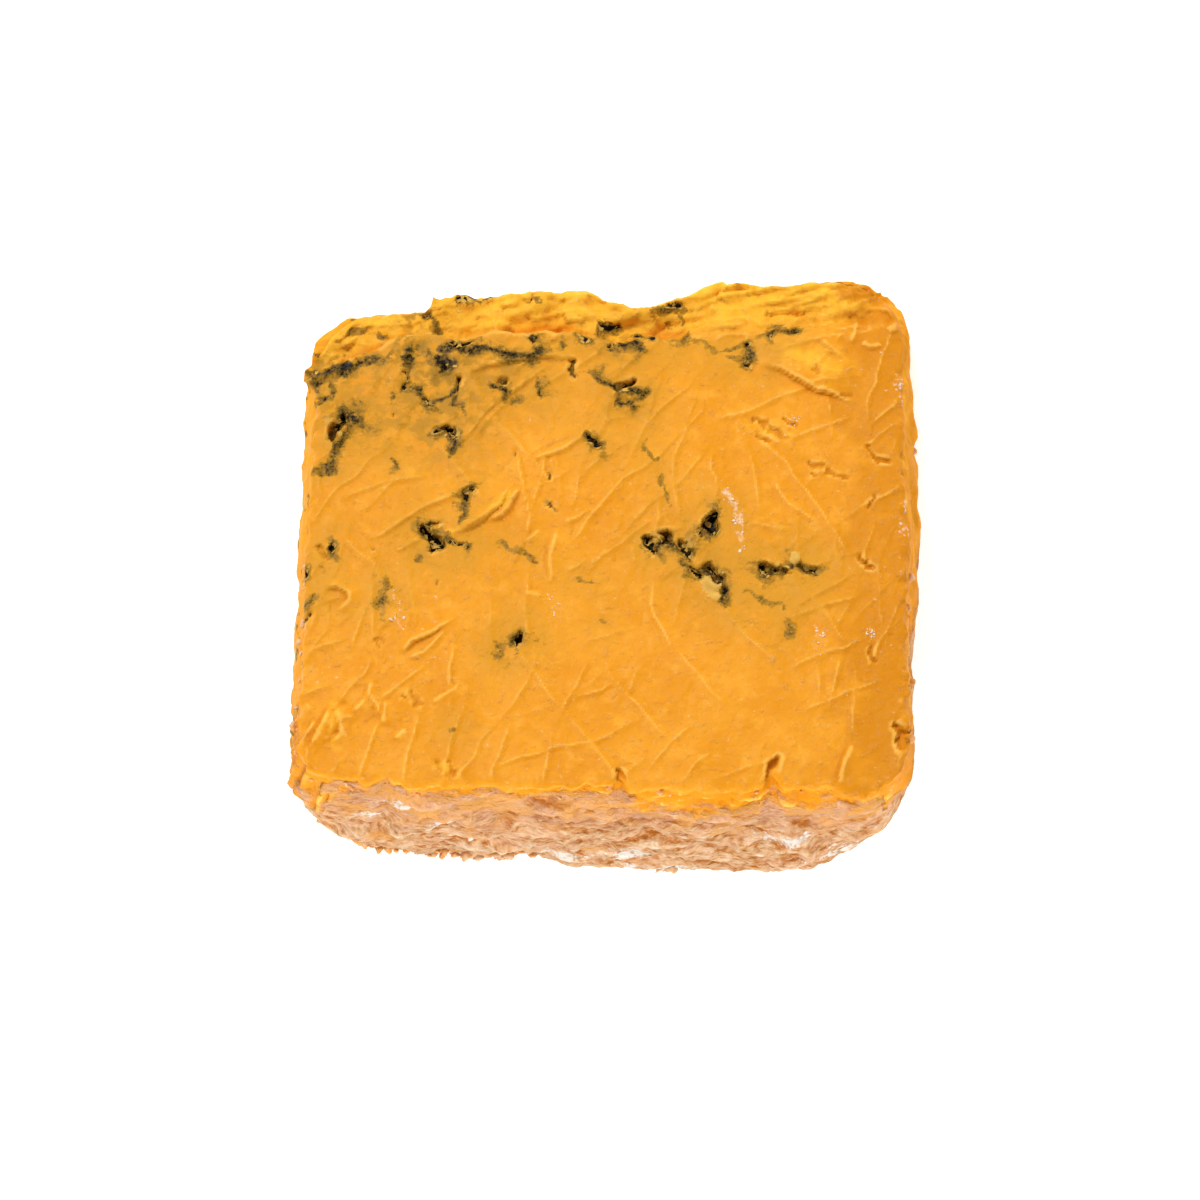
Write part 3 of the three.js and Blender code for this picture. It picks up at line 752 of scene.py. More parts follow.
def on_face(pixel):
    """The place on the plain cut face, in the drawing frame, that a pixel of the photo shows."""
    place, right, up, back = camera_axes()
    place = place + np.array([MIDDLE[0], MIDDLE[1], 0])
    ray = right * (pixel[0] - PHOTO_MIDDLE) - up * (pixel[1] - PHOTO_MIDDLE) - back * FOCAL_PIXELS
    reach = (WEDGE_SLOPE * (AXIS_Y - place[1]) - place[2]) / (ray[2] + WEDGE_SLOPE * ray[1])
    return (place + reach * ray)[:2]


def placed(rows):
    """The same rows with the paths in millimetres on the cut face."""
    return [([on_face(pixel) for pixel in path], *sizes) for path, *sizes in rows]


def warped(x, y):
    """Places moved a little at random, which makes smooth forms measured at them ragged."""
    return moved(x, y, VEIN_WARP, WARP_LAYERS)


def ragged(rows):
    """Placed rows moved as their ragged forms are, so that these lie where the photo has them."""
    return [([np.array(warped(*place)) for place in path], *sizes) for path, *sizes in placed(rows)]


POCKET_ROWS = ragged(POCKETS)
VEIN_ROWS = ragged([(path, half * VEIN_SPREAD, min(1, half / VEIN_FULL)) for path, half in VEINS])
# The black in the pockets is mould and painted shade in the holes.
BLACK_ROWS = ragged([(path, half, 1) for path, half, _ in POCKETS])
GOUGE_ROWS = ragged(GOUGES)
TORN_ROWS = ragged(TORN)
SALT_ROWS = ragged([(path, CRYSTAL_SPREAD, strength) for path, strength in CRYSTAL_ROWS])
OLIVE_ROWS = ragged([([pixel], *sizes) for pixel, *sizes in OLIVE])
CHIP_ROWS = ragged([([pixel], radius, 1) for pixel, radius in CHIPS])
LUMP_ROWS = ragged([([pixel], *sizes) for pixel, *sizes in LUMPS])
BLOOM_ROWS = placed([([pixel], radius, 1) for pixel, radius in BLOOM])


def segment_place(x, y, a, b):
    """Points seen from the straight line between a and b: share along it, distance, and side of it."""
    along = b - a
    share = np.clip(((x - a[0]) * along[0] + (y - a[1]) * along[1]) / (along @ along), 0, 1)
    away_x, away_y = x - a[0] - share * along[0], y - a[1] - share * along[1]
    return share, np.hypot(away_x, away_y), along[0] * away_y - along[1] * away_x


def path_distance(x, y, path):
    """Distance from points to a path of straight lines, or to a single place."""
    if len(path) == 1:
        return np.hypot(x - path[0][0], y - path[0][1])
    return np.minimum.reduce([segment_place(x, y, a, b)[1] for a, b in zip(path, path[1:])])


def close_to(x, y, path, reach):
    """Numbers of the points within a reach of the box round a path."""
    low, high = np.min(path, axis=0) - reach, np.max(path, axis=0) + reach
    return np.flatnonzero((x > low[0]) & (x < high[0]) & (y > low[1]) & (y < high[1]))


def unevenness(x, y):
    """A factor on the width of pockets and veins that makes them swell and shrink along their way."""
    return 1 + VEIN_SWELL[0] * noise(x / VEIN_SWELL[1], y / VEIN_SWELL[1], LAYER["vein_swell"])


def insideness(x, y, rows, least):
    """A row's strength in its middle, 0 at its half width, and less outside, down to a least value."""
    uneven = unevenness(x, y)
    most = np.full(x.shape, float(least))
    for path, half, strength in rows:
        near = close_to(x, y, path, half * (1 - least) * (1 + VEIN_SWELL[0]))
        inside = 1 - path_distance(x[near], y[near], path) / (half * uneven[near])
        inside = np.where(inside > 0, strength * inside, inside)
        most[near] = np.maximum(most[near], inside)
    return most


def dug_depth(x, y, rows):
    """Depth of the deepest row at each point. A row has a low raised lip round it."""
    flat_x, flat_y = np.ravel(x), np.ravel(y)
    uneven = unevenness(flat_x, flat_y)
    depth = np.zeros(flat_x.shape)
    for path, half, deep in rows:
        near = close_to(flat_x, flat_y, path, PIT_REACH * half)
        inside = 1 - path_distance(flat_x[near], flat_y[near], path) / (half * uneven[near])
        lip = PIT_LIP["share"] * hill((inside + PIT_LIP["out"]) / PIT_LIP["half"])
        dug = deep * (smoothstep(inside, 0, PIT_WALL) - lip)
        depth[near] = np.where(np.abs(dug) > np.abs(depth[near]), dug, depth[near])
    return depth.reshape(np.shape(x))


def fold_slope(away, side):
    """1 on a fold's crest, falling gently on one side and steeply on the other."""
    return np.exp(-away / np.where(side > 0, FOLD_GENTLE, FOLD_STEEP))


def one_fold(x, y, curve, rise):
    """Height of one fold, which dies away at both ends."""
    nearest = np.full(x.shape, np.inf)
    height = np.zeros(x.shape)
    for n, (a, b) in enumerate(zip(curve, curve[1:])):
        share, away, side = segment_place(x, y, a, b)
        along = (n + share) / FOLD_SAMPLES
        ends = smoothstep(along, 0, FOLD_TAPER) * (1 - smoothstep(along, 1 - FOLD_TAPER, 1))
        height = np.where(away < nearest, FOLD_LIFT * rise * ends * fold_slope(away, side), height)
        nearest = np.minimum(away, nearest)
    return height


def fold_height(x, y):
    """Height of all the folds."""
    bent_x, bent_y = (np.ravel(values) for values in moved(x, y, FOLD_BEND, FOLD_LAYERS))
    height = np.zeros(bent_x.shape)
    for curve, rise in FOLD_ROWS:
        near = close_to(bent_x, bent_y, curve, FOLD_REACH)
        height[near] = np.maximum(height[near], one_fold(bent_x[near], bent_y[near], curve, rise))
    return height.reshape(np.shape(x))


def crease_height(x, y):
    """Height of the faint creases, which show in patches, each set of lines in its own."""
    bent_x, bent_y = moved(x, y, CREASE_BEND, CREASE_LAYERS)
    height = np.zeros(np.shape(x))
    for n, (turn, gap) in enumerate(CREASE_SETS):
        _, across = turned(bent_x, bent_y, turn)
        side = across - gap * np.round(across / gap)
        patch = noise(x / CREASE_PATCH, y / CREASE_PATCH, LAYER["creases"] + n)
        crease = smoothstep(patch, *CREASE_SHOWS) * fold_slope(np.abs(side), side)
        height = np.maximum(height, CREASE_RISE * crease)
    return height


FOLD_ROWS = [(spline(path, FOLD_SAMPLES), rise) for path, rise in placed(FOLDS)]


def flake_edge(x):
    """How far back the dragged layer's edge lies at a place across the wedge."""
    uneven = crags(x, 0, LAYER["flake"], FLAKE_RAGGED) + crags(x, 0, LAYER["flake_chips"], FLAKE_CHIPS)
    return FLAKE["y"] + FLAKE["slope"] * (x - FLAKE["x"]) + uneven


def flake_height(x, y):
    """Rise of the dragged layer at the back right."""
    edge_y = flake_edge(x)
    start = smoothstep(x, FLAKE["left"], FLAKE["right"])
    end = smoothstep(x, FLAKE["end"] - FLAKE["soft_end"], FLAKE["end"] + FLAKE["soft_end"])
    fade = 1 - smoothstep(y, edge_y, edge_y + FLAKE["fade"])
    step = smoothstep(y, edge_y - FLAKE["edge"], edge_y + FLAKE["edge"])
    return FLAKE["rise"] * start * (1 - end) * fade * step


def rightness(x):
    """0 where the broken end is a step, and 1 where it is a slope."""
    return smoothstep(x, BREAK_WIDTH["start"], BREAK_WIDTH["end"])


def ledge_strands(x, y):
    """Torn layers that run along the ledge."""
    along, across = turned(x, y, STRANDS["turn"])
    bent = across + noise(along / STRANDS["long"], across / STRANDS["long"], LAYER["strand_bend"])
    crests = sharp_crests(along / STRANDS["long"], bent / STRANDS["wide"], LAYER["strands"])
    return STRANDS["rise"] * crests * lerp(STRANDS["left_share"], 1, rightness(x))


def ledge_height(x, y):
    """Height of the rough ledge behind the break."""
    away = np.hypot((x - HOLLOW["x"]) / HOLLOW["long"], (y - HOLLOW["y"]) / HOLLOW["wide"])
    fall = LEDGE_FALL * (y - break_at(x)) + HOLLOW["deep"] * hill(away)
    chips = sum(facets(*warped(x, y), size, rise) for size, rise in CHUNKS)
    rough = chips * lerp(1, CHUNKS_RIGHT, rightness(x)) + ledge_strands(x, y)
    return LEDGE_HEIGHT - fall + crags(x, y, LAYER["ledge"], BROKEN_CRAGS) + rough


def brokenness(x, y):
    """0 on the cut face and 1 on the ledge."""
    edge_y = break_at(x) + crags(x, 0, LAYER["break_chips"], BREAK_CHIPS)
    half = lerp(BREAK_WIDTH["left"], BREAK_WIDTH["right"], rightness(x)) / 2
    return smoothstep(y, edge_y - half, edge_y + half)


def top_height(x, y):
    """The upper surface: the cut face, and the ledge behind the break."""
    cut = (AXIS_Y - y) * WEDGE_SLOPE
    ragged_x, ragged_y = warped(x, y)
    lumps = np.clip(crags(x, y, LAYER["pocket_floor"], POCKET_FLOOR), 0, 1)
    floor = 1 - POCKET_FLOOR_SHARE * lumps
    pockets = dug_depth(ragged_x, ragged_y, POCKET_ROWS) * floor
    gouges = dug_depth(ragged_x, ragged_y, GOUGE_ROWS) * floor
    dug = np.where(np.abs(pockets) > np.abs(gouges), pockets, gouges)
    swell = crags(x, y, LAYER["face"], FACE_SWELL) + flake_height(x, y)
    ledge = np.minimum(cut, ledge_height(x, y))
    plain = lerp(cut + swell, ledge, brokenness(x, y))
    creased = np.maximum(fold_height(x, y), crease_height(x, y) * (1 - brokenness(x, y)))
    return np.maximum(plain + creased - dug, THINNEST)


def rim(side, t):
    """The upper edge of one side."""
    return side_points(side, t, np.ones_like(t), top_height, SOFTER_CRAGS)


def top_grid():
    """The upper surface as rows of points from front to back, inside its four edges."""
    u = np.linspace(0, 1, STEPS_X + 1)
    v = np.linspace(0, 1, STEPS_Y + 1)
    front, back = rim("front", u)[None], rim("back", 1 - u)[None]
    left, right = rim("left", 1 - v)[:, None], rim("right", v)[:, None]
    share_u, share_v = u[None, :, None], v[:, None, None]
    front_line = lerp(front[:, :1], front[:, -1:], share_u)
    back_line = lerp(back[:, :1], back[:, -1:], share_u)
    corners = lerp(front_line, back_line, share_v)
    place = lerp(front, back, share_v) + lerp(left, right, share_u) - corners
    to_end = np.minimum(u, 1 - u)[None, :] * WIDTH
    to_front = v[:, None] * DEPTH
    drop = (round_off(to_end, EDGE_ROUND) + round_off(to_front, EDGE_ROUND)) / 2
    inside = np.maximum(top_height(place[..., 0], place[..., 1]) - drop, THINNEST)
    place[1:-1, 1:-1, 2] = inside[1:-1, 1:-1]
    return place


def rim_indices():
    """The upper surface's edge points in the order of a ring."""
    index = np.arange((STEPS_X + 1) * (STEPS_Y + 1)).reshape(STEPS_Y + 1, STEPS_X + 1)
    return np.concatenate([index[0, :-1], index[:-1, -1], index[-1, :0:-1], index[:0:-1, 0]])


def strip(lower, upper):
    """Faces between two rings."""
    return np.stack([lower, np.roll(lower, -1), np.roll(upper, -1), upper], axis=1)


def wedge_mesh():
    """Points and faces of the whole wedge. Points are the upper surface, then the rings, then the foot."""
    top = top_grid()
    edge = rim_indices()
    levels = np.arange(STEPS_UP) / STEPS_UP
    rings = [ring(level, top_height, SOFTER_CRAGS) for level in levels]
    foot_x, foot_y = outwards(rings[0][:, 0], rings[0][:, 1])
    foot = rings[0] - FOOT_INSET * np.stack([foot_x, foot_y, np.zeros_like(foot_x)], axis=1)
    points = np.concatenate([top.reshape(-1, 3), *rings, foot])
    index = np.arange(len(top.reshape(-1, 3))).reshape(top.shape[:2])
    top_faces = np.stack([index[:-1, :-1], index[:-1, 1:], index[1:, 1:], index[1:, :-1]], axis=-1)
    starts = index.size + len(edge) * np.arange(STEPS_UP + 1)
    loops = [start + np.arange(len(edge)) for start in starts]
    walls = [strip(a, b) for a, b in zip(loops[:STEPS_UP], [*loops[1:STEPS_UP], edge])]
    sole = strip(loops[-1], loops[0])
    faces = np.concatenate([top_faces.reshape(-1, 4), *walls, sole])
    return points, faces, loops


TOP_COUNT = (STEPS_X + 1) * (STEPS_Y + 1)
RING_COUNT = 2 * (STEPS_X + STEPS_Y)


def depth_under_edge(points, loops):
    """How far each point lies under the upper edge, along its side. It is 0 on the upper surface."""
    under = np.zeros(len(points))
    edge = points[rim_indices(), 2]
    for loop in loops:
        under[loop] = edge - points[loop, 2]
    return under


def edge_nearness(loops):
    """1 at the sides, falling to 0 at EDGE_REACH inside the upper surface."""
    u = np.linspace(0, 1, STEPS_X + 1)[None, :]
    v = np.linspace(0, 1, STEPS_Y + 1)[:, None]
    inside = np.minimum(np.minimum(u, 1 - u) * WIDTH, np.minimum(v, 1 - v) * DEPTH)
    nearness = 1 - smoothstep(inside, 0, EDGE_REACH).ravel()
    return np.concatenate([nearness, np.ones(sum(len(loop) for loop in loops))])


def rind_share(x, y, z):
    """1 on the front and the right end, which have a rind. Its border at the left is ragged."""
    out_x, out_y = outwards(x, y)
    swing, length = CORNER_RAGGED
    uneven = swing * noise((x - y) / length, z / length, LAYER["corner"]) * (x < 0)
    return smoothstep(np.maximum(-out_y, out_x) + uneven, *RIND_TURN)


def plates(x, y, z, size, flat, rise):
    """Torn layers: flat plates with sharp edges, each a step further out than the next."""
    scale, share = PLATE_FINE
    coarse = noise(x / size, y / size, z * flat / size)
    fine = noise(x / size * scale, y / size * scale, z * flat)
    level = PLATE_STEPS * (coarse + share * fine)
    whole = np.floor(level)
    return rise * (whole + smoothstep(level - whole, 1 - PLATE_EDGE, 1)) / PLATE_STEPS


def strata_lift(x, y, z):
    """How much higher the rind's layers run where it bulges out."""
    return STRATA_FOLLOW * crags(x, y, z * RIND_LAYERING, SOFTER_CRAGS)


def rind_relief(x, y, z):
    """Grain of the rind, its torn layers, large and small, and the fibres along them."""
    large = plates(x, y, z, *LARGE_PLATES)
    small = plates(x + PLATE_SHIFT, y, z, *SMALL_PLATES)
    along_x, along_y = x / FIBRES["long"], y / FIBRES["long"]
    bent = z + FIBRES["wave"] * noise(along_x, along_y, LAYER["fibre_bend"])
    fibres = FIBRES["rise"] * sharp_crests(along_x, along_y, bent / FIBRES["high"])
    return crags(x, y, z * RIND_LAYERING, RIND_GRAIN) + large + small + fibres


def side_roughness(x, y, z):
    """Fine roughness of the sides: layers on the rind, and grain and pleats on the cut left end."""
    out_x, _ = outwards(x, y)
    layers = rind_relief(x, y, z + strata_lift(x, y, z)) * lerp(1, RIGHT_END_SHARE, np.abs(out_x))
    valleys = sharp_crests((x - y) / PLEATS["wide"], z / PLEATS["high"], LAYER["pleats"])
    pleats = -PLEATS["rise"] * valleys * smoothstep(-y, *RUFFLED)
    return lerp(crags(x, y, z, CUT_END_GRAIN) + pleats, layers, rind_share(x, y, z))


def lump_height(x, y):
    """Height of all the lumps."""
    ragged_x, ragged_y = warped(x, y)
    return sum(
        height * hill(np.hypot(ragged_x - at[0], ragged_y - at[1]) / radius)
        for (at,), radius, height in LUMP_ROWS
    )


def roughened(points, under, near):
    """The points with the finer roughness of the sides, the crumbling of the edges, and the lumps."""
    x, y, z = points.T
    out_x, out_y = outwards(x, y)
    off_floor = smoothstep(z, 0, FOOT_ROUND)
    at_edge = near * (1 - smoothstep(under, 0, EDGE_REACH))
    crumble = crags(x, y, z, EDGE_CRUMBLE) * at_edge * lerp(CRUMBLE_ON_CUT, 1, rind_share(x, y, z))
    lumps = lump_height(x, y) * (1 - smoothstep(under, 0, LUMP_DEPTH))
    out = (side_roughness(x, y, z) * near + crumble + lumps * near) * off_floor
    rise = (crumble + LUMP_RISE * lumps) * off_floor
    return np.stack([x + out_x * out, y + out_y * out, np.maximum(z + rise, 0)], axis=1)


def smoothed(grid, around):
    """A grid blurred over a square of points. A grid that goes around meets itself again."""
    width = 2 * RELIEF_STEPS + 1
    for axis in (0, 1):
        room = [(0, 0), (0, 0)]
        room[axis] = (RELIEF_STEPS, RELIEF_STEPS)
        padded = np.pad(grid, room, "wrap" if around and axis == 1 else "edge")
        count = grid.shape[axis]
        grid = sum(np.take(padded, range(n, n + count), axis) for n in range(width)) / width
    return grid


def relief_highlight_and_shade(points):
    """From 1 on crests to -1 in cracks, by how far each point stands out from its neighbours, for painted
    highlight and shade.
    """
    top = points[:TOP_COUNT].reshape(STEPS_Y + 1, STEPS_X + 1, 3)
    height = top[..., 2] + WEDGE_SLOPE * top[..., 1]
    sides = points[TOP_COUNT:-RING_COUNT].reshape(STEPS_UP, RING_COUNT, 3)
    out_x, out_y = outwards(sides[..., 0], sides[..., 1])
    out = sides[..., 0] * out_x + sides[..., 1] * out_y
    on_top = (height - smoothed(height, False)) / RELIEF_ON_TOP
    on_sides = (out - smoothed(out, True)) / RELIEF_ON_SIDES
    return np.clip(np.concatenate([on_top.ravel(), on_sides.ravel(), np.zeros(RING_COUNT)]), -1, 1)


def halo_strength(x, y):
    """How strongly the mould tints the paste, from all the veins that are near."""
    total = np.zeros(x.shape)
    for path, half, _ in VEIN_ROWS:
        near = close_to(x, y, path, HALO_END * HALO_REACH)
        away = np.maximum(path_distance(x[near], y[near], path) - half, 0)
        total[near] += half * np.exp(-away / HALO_REACH)
    return 1 - np.exp(-HALO_GAIN * total)


def patches(x, under, rows):
    """Soft patches on the front rind, from 0 to 1."""
    across, down = x / PATCH_RAGGED["long"], under / PATCH_RAGGED["high"]
    uneven = PATCH_RAGGED["swing"] * noise(across, down, LAYER["patches"])
    inside = [1 - np.hypot((x - at) / long, (under - deep) / high) for at, deep, long, high in rows]
    return np.clip(np.maximum.reduce(inside) + uneven, 0, 1)


def spots(x, y, rows):
    """The strongest of some round soft spots."""
    return np.maximum.reduce([
        strength * hill(np.hypot(x - at[0], y - at[1]) / radius) for (at,), radius, strength in rows
    ])


def mould_looks(x, y, under):
    """Pockets, veins and the tint round them. They go on a little way down the sides."""
    ragged_x, ragged_y = warped(x, y)
    fade = MOULD_OVER_EDGE * under
    return {
        "pocket": np.maximum(insideness(ragged_x, ragged_y, BLACK_ROWS, POCKET_LEAST) - fade, POCKET_LEAST),
        "vein": np.maximum(insideness(ragged_x, ragged_y, VEIN_ROWS, VEIN_LEAST) - fade, VEIN_LEAST),
        "halo": halo_strength(ragged_x, ragged_y) * lerp(1, HALO_ON_LEDGE, brokenness(x, y)) * np.exp(-fade),
        "olive": spots(ragged_x, ragged_y, OLIVE_ROWS) * np.exp(-fade),
        "chip": spots(ragged_x, ragged_y, CHIP_ROWS),
    }


def face_looks(x, y):
    """The fields of the upper surface alone."""
    ragged_x, ragged_y = warped(x, y)
    broken = brokenness(x, y)
    # Painted shade at the foot of the step behind the break, in patches.
    step_foot_shade = broken * (1 - smoothstep(y - break_at(x), *STEP_FOOT_SHADE)) * (1 - rightness(x))
    deep_patch = noise(x / STEP_SHADE_PATCH, y / STEP_SHADE_PATCH, LAYER["deep"])
    torn = np.clip(TORN_GAIN * insideness(ragged_x, ragged_y, TORN_ROWS, 0), 0, 1)
    return {
        "torn": np.maximum(torn, broken),
        "deep": step_foot_shade * smoothstep(deep_patch, *STEP_SHADE_SHOWS),
        "ripe": smoothstep(x, *RIPE),
        "salt": insideness(ragged_x, ragged_y, SALT_ROWS, POCKET_LEAST),
        "white": BLOOM_SHARE * spots(x, y, BLOOM_ROWS),
    }


def rind_field(x, y, under):
    """0 on the paste and 1 on the rind, down the sides that have one. The border is ragged."""
    starts = np.interp(x, *np.array(RIND_STARTS, float).T)
    starts = np.where(outwards(x, y)[0] > RIGHT_END_TURN, RIND_START_RIGHT, starts)
    coarse, fine = RIND_BORDER, RIND_BORDER_FINE
    uneven = noise(x / coarse["long"], under / coarse["high"], LAYER["rind_border"])
    finer = noise(x / fine["long"], under / fine["high"], LAYER["rind_border_fine"])
    depth = under + RIND_EDGE * (uneven + fine["share"] * finer)
    return smoothstep(depth, starts - RIND_EDGE, starts + RIND_EDGE)


def side_looks(x, y, z, under):
    """The fields of the sides alone."""
    in_front = y < 0
    share = rind_share(x, y, z)
    return {
        "rind": share * rind_field(x, y, under),
        # The crumbled lip at the rind's upper edge: the torn paste's lighter colour and a painted highlight.
        "lip": LIP_HIGHLIGHT * share * (1 - smoothstep(under, 0, LIP_REACH)),
        # Near the upper edge the rind is pinker and more orange, and painted shade makes it darker.
        "upper": 1 - smoothstep(under, *PINK_DEPTHS),
        "ripe": RIPE_ON_SIDES * smoothstep(x, *RIPE) + smoothstep(-y, *RUFFLED),
        "salt": np.full(len(x), POCKET_LEAST),
        "white": patches(x, under, MOULD) * in_front,
        "dark": patches(x, under, DARK_RIND) * in_front,
        "hidden": 1 - share,
        "lift": strata_lift(x, y, z) * MM,
        "side": np.ones(len(x)),
    }


def looks(points, under):
    """What the material needs to know at each point, as named fields."""
    x, y, _ = points.T
    top = face_looks(x[:TOP_COUNT], y[:TOP_COUNT])
    sides = side_looks(*points[TOP_COUNT:].T, under[TOP_COUNT:])
    fields = mould_looks(x, y, under)
    for name in {**top, **sides}:
        fields[name] = np.concatenate([
            top.get(name, np.zeros(TOP_COUNT)),
            sides.get(name, np.zeros(len(points) - TOP_COUNT)),
        ])
    return fields


def add_mesh(name, points, faces, material, smooth=True):
    """A mesh object from points in metres."""
    mesh = bpy.data.meshes.new(name)
    mesh.from_pydata(points.tolist(), [], faces)
    mesh.polygons.foreach_set("use_smooth", np.full(len(faces), smooth))
    mesh.materials.append(material)
    piece = bpy.data.objects.new(name, mesh)
    bpy.context.collection.objects.link(piece)
    return piece


def add_cheese(material):
    """The wedge itself, with its fields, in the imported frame."""
    points, faces, loops = wedge_mesh()
    under = depth_under_edge(points, loops)
    fields = looks(points, under)
    near = edge_nearness(loops)
    rough = roughened(points, under, near)
    rough[loops[-1], 2] = 0
    # The field that paints highlight on crests and shade in cracks, weaker near the edges and on torn
    # places.
    inner = (1 - near**2) * (1 - TORN_RELIEF * fields["torn"])
    fields["relief_highlight_and_shade"] = relief_highlight_and_shade(rough) * np.where(fields["side"], 1, inner)
    place = (rough - np.array([MIDDLE[0], MIDDLE[1], 0])) * MM
    sole = loops[-1][::-1].tolist()
    piece = add_mesh("cheese_wedge", place, [*faces.tolist(), sole], material)
    for name, values in fields.items():
        attribute = piece.data.attributes.new(name, "FLOAT", "POINT")
        attribute.data.foreach_set("value", values.astype(np.float32))
    return piece, place, under, fields


def vertex_normals(piece):
    """The mesh's point normals as rows."""
    normals = np.empty(3 * len(piece.data.vertices))
    piece.data.vertices.foreach_get("normal", normals)
    return normals.reshape(-1, 3)


def grain_form():
    """Points and faces of a ball of radius 1 with few faces."""
    mesh = bpy.data.meshes.new("grain")
    form = bmesh.new()
    bmesh.ops.create_icosphere(form, subdivisions=2, radius=1)
    form.to_mesh(mesh)
    form.free()
    points = np.array([v.co[:] for v in mesh.vertices])
    faces = np.array([p.vertices[:] for p in mesh.polygons])
    bpy.data.meshes.remove(mesh)
    return points, faces


def add_grains(name, places, radii, material, random):
    """Rough grains at places, all in one piece."""
    ball, triangles = grain_form()
    points, faces = [], []
    for n, (place, radius) in enumerate(zip(places, radii)):
        turn, _ = np.linalg.qr(random.normal(size=(3, 3)))
        stretch = random.uniform(*CRUMB_STRETCH, 3)
        shift = random.uniform(-NOISE_ROOM, NOISE_ROOM, 3)
        swell = 1 + CRUMB_ROUGH * noise(*(CRUMB_LUMPS * ball + shift).T)
        grain = place + radius * MM * (ball * swell[:, None] * stretch) @ turn
        points.append(np.maximum(grain, FLOOR_LEVEL))
        faces.append(triangles + n * len(ball))
    return add_mesh(name, np.concatenate(points), np.concatenate(faces).tolist(), material)


def pick(random, allowed, count):
    """Some of the allowed point numbers, at random."""
    return random.choice(np.flatnonzero(allowed), count, replace=False)


def add_crumbs(cheese, place, under, fields, material, random):
    """Crumbs that cling to the rind's foot and to the upper edge."""
    x, y, height = place.T / MM
    lowest, highest = CRUMB_HEIGHTS
    clusters = noise(x / CRUMB_CLUSTERS, y / CRUMB_CLUSTERS, LAYER["crumbs"]) > 0
    low = (height < highest) & (height > lowest) & (fields["rind"] > 0.5) & clusters
    edge = (under < CRUMB_DEPTH) & (fields["side"] > 0) & (y < 0)
    chosen = np.concatenate([
        pick(random, low, CRUMBS_AT_FOOT),
        pick(random, edge, CRUMBS_AT_EDGE),
    ])
    radii = lerp(*CRUMB_SIZES, random.random(len(chosen)) ** CRUMB_SKEW)
    places = place[chosen] + vertex_normals(cheese)[chosen] * CRUMB_LIFT * radii[:, None] * MM
    places[:, 2] = np.maximum(places[:, 2], radii * MM)
    return add_grains("cheese_crumbs", places, radii, material, random)


def add_crystals(place, material, random):
    """Pale crystals in rows on the upper face."""
    face = place[:TOP_COUNT, :2] / MM + MIDDLE[:2]
    chosen = []
    for path, strength in CRYSTAL_ROWS:
        row = np.array([on_face(pixel) for pixel in path])
        share = random.random(round(strength * CRYSTALS_PER_ROW)) * (len(row) - 1)
        start = np.minimum(share.astype(int), len(row) - 2)
        seeds = lerp(row[start], row[start + 1], (share - start)[:, None])
        seeds = seeds + random.normal(scale=CRYSTAL_SPREAD, size=seeds.shape)
        chosen += [np.argmin(np.sum((face - seed) ** 2, axis=1)) for seed in seeds]
    radii = lerp(*CRYSTAL_SIZES, random.random(len(chosen)) ** CRYSTAL_SKEW)
    return add_grains("cheese_crystals", place[chosen], radii, material, random)


# Colours, as linear red, green and blue.
PASTE = (0.82, 0.326, 0.018, 1)
PASTE_LIGHT = (0.88, 0.38, 0.032, 1)
PASTE_DEEP = (0.77, 0.287, 0.010, 1)
PASTE_RIPE = (0.67, 0.242, 0.008, 1)
# Painted highlight on crests and painted shade in cracks.
CREST_HIGHLIGHT_YELLOW = (1.0, 0.56, 0.11, 1)
CRACK_SHADE_ORANGE = (0.56, 0.17, 0.003, 1)
TORN_YELLOW = (1.0, 0.52, 0.036, 1)
# Painted shade at the foot of the step behind the break.
STEP_SHADE_ORANGE = (0.78, 0.24, 0.004, 1)
CRUMB_KHAKI = (0.74, 0.44, 0.09, 1)
MOULD_WHITE = (0.87, 0.79, 0.69, 1)
RIND_PINK = (0.80, 0.47, 0.29, 1)
RIND_ORANGE = (0.77, 0.36, 0.10, 1)
CRYSTAL_WHITE = (0.92, 0.66, 0.44, 1)
FLOOR_WHITE = (0.9, 0.9, 0.9, 1)
FLOOR_GLOW = 0.6

# From faint to black mould, and from the rind's cracks to its pale fibres: place in the range and colour.
MOULD_SHADES = (
    (0.00, (0.66, 0.290, 0.020, 1)),
    (0.30, (0.42, 0.200, 0.016, 1)),
    (0.55, (0.22, 0.112, 0.012, 1)),
    (0.75, (0.10, 0.056, 0.006, 1)),
    (0.90, (0.032, 0.019, 0.003, 1)),
    (1.00, (0.006, 0.003, 0.001, 1)),
)
RIND_SHADES = (
    (0.00, (0.40, 0.11, 0.010, 1)),
    (0.25, (0.59, 0.285, 0.115, 1)),
    (0.50, (0.72, 0.44, 0.235, 1)),
    (0.75, (0.80, 0.57, 0.370, 1)),
    (1.00, (0.91, 0.76, 0.600, 1)),
)


NOISE_ROUGHNESS = 0.6
FRAY_DETAIL = 3

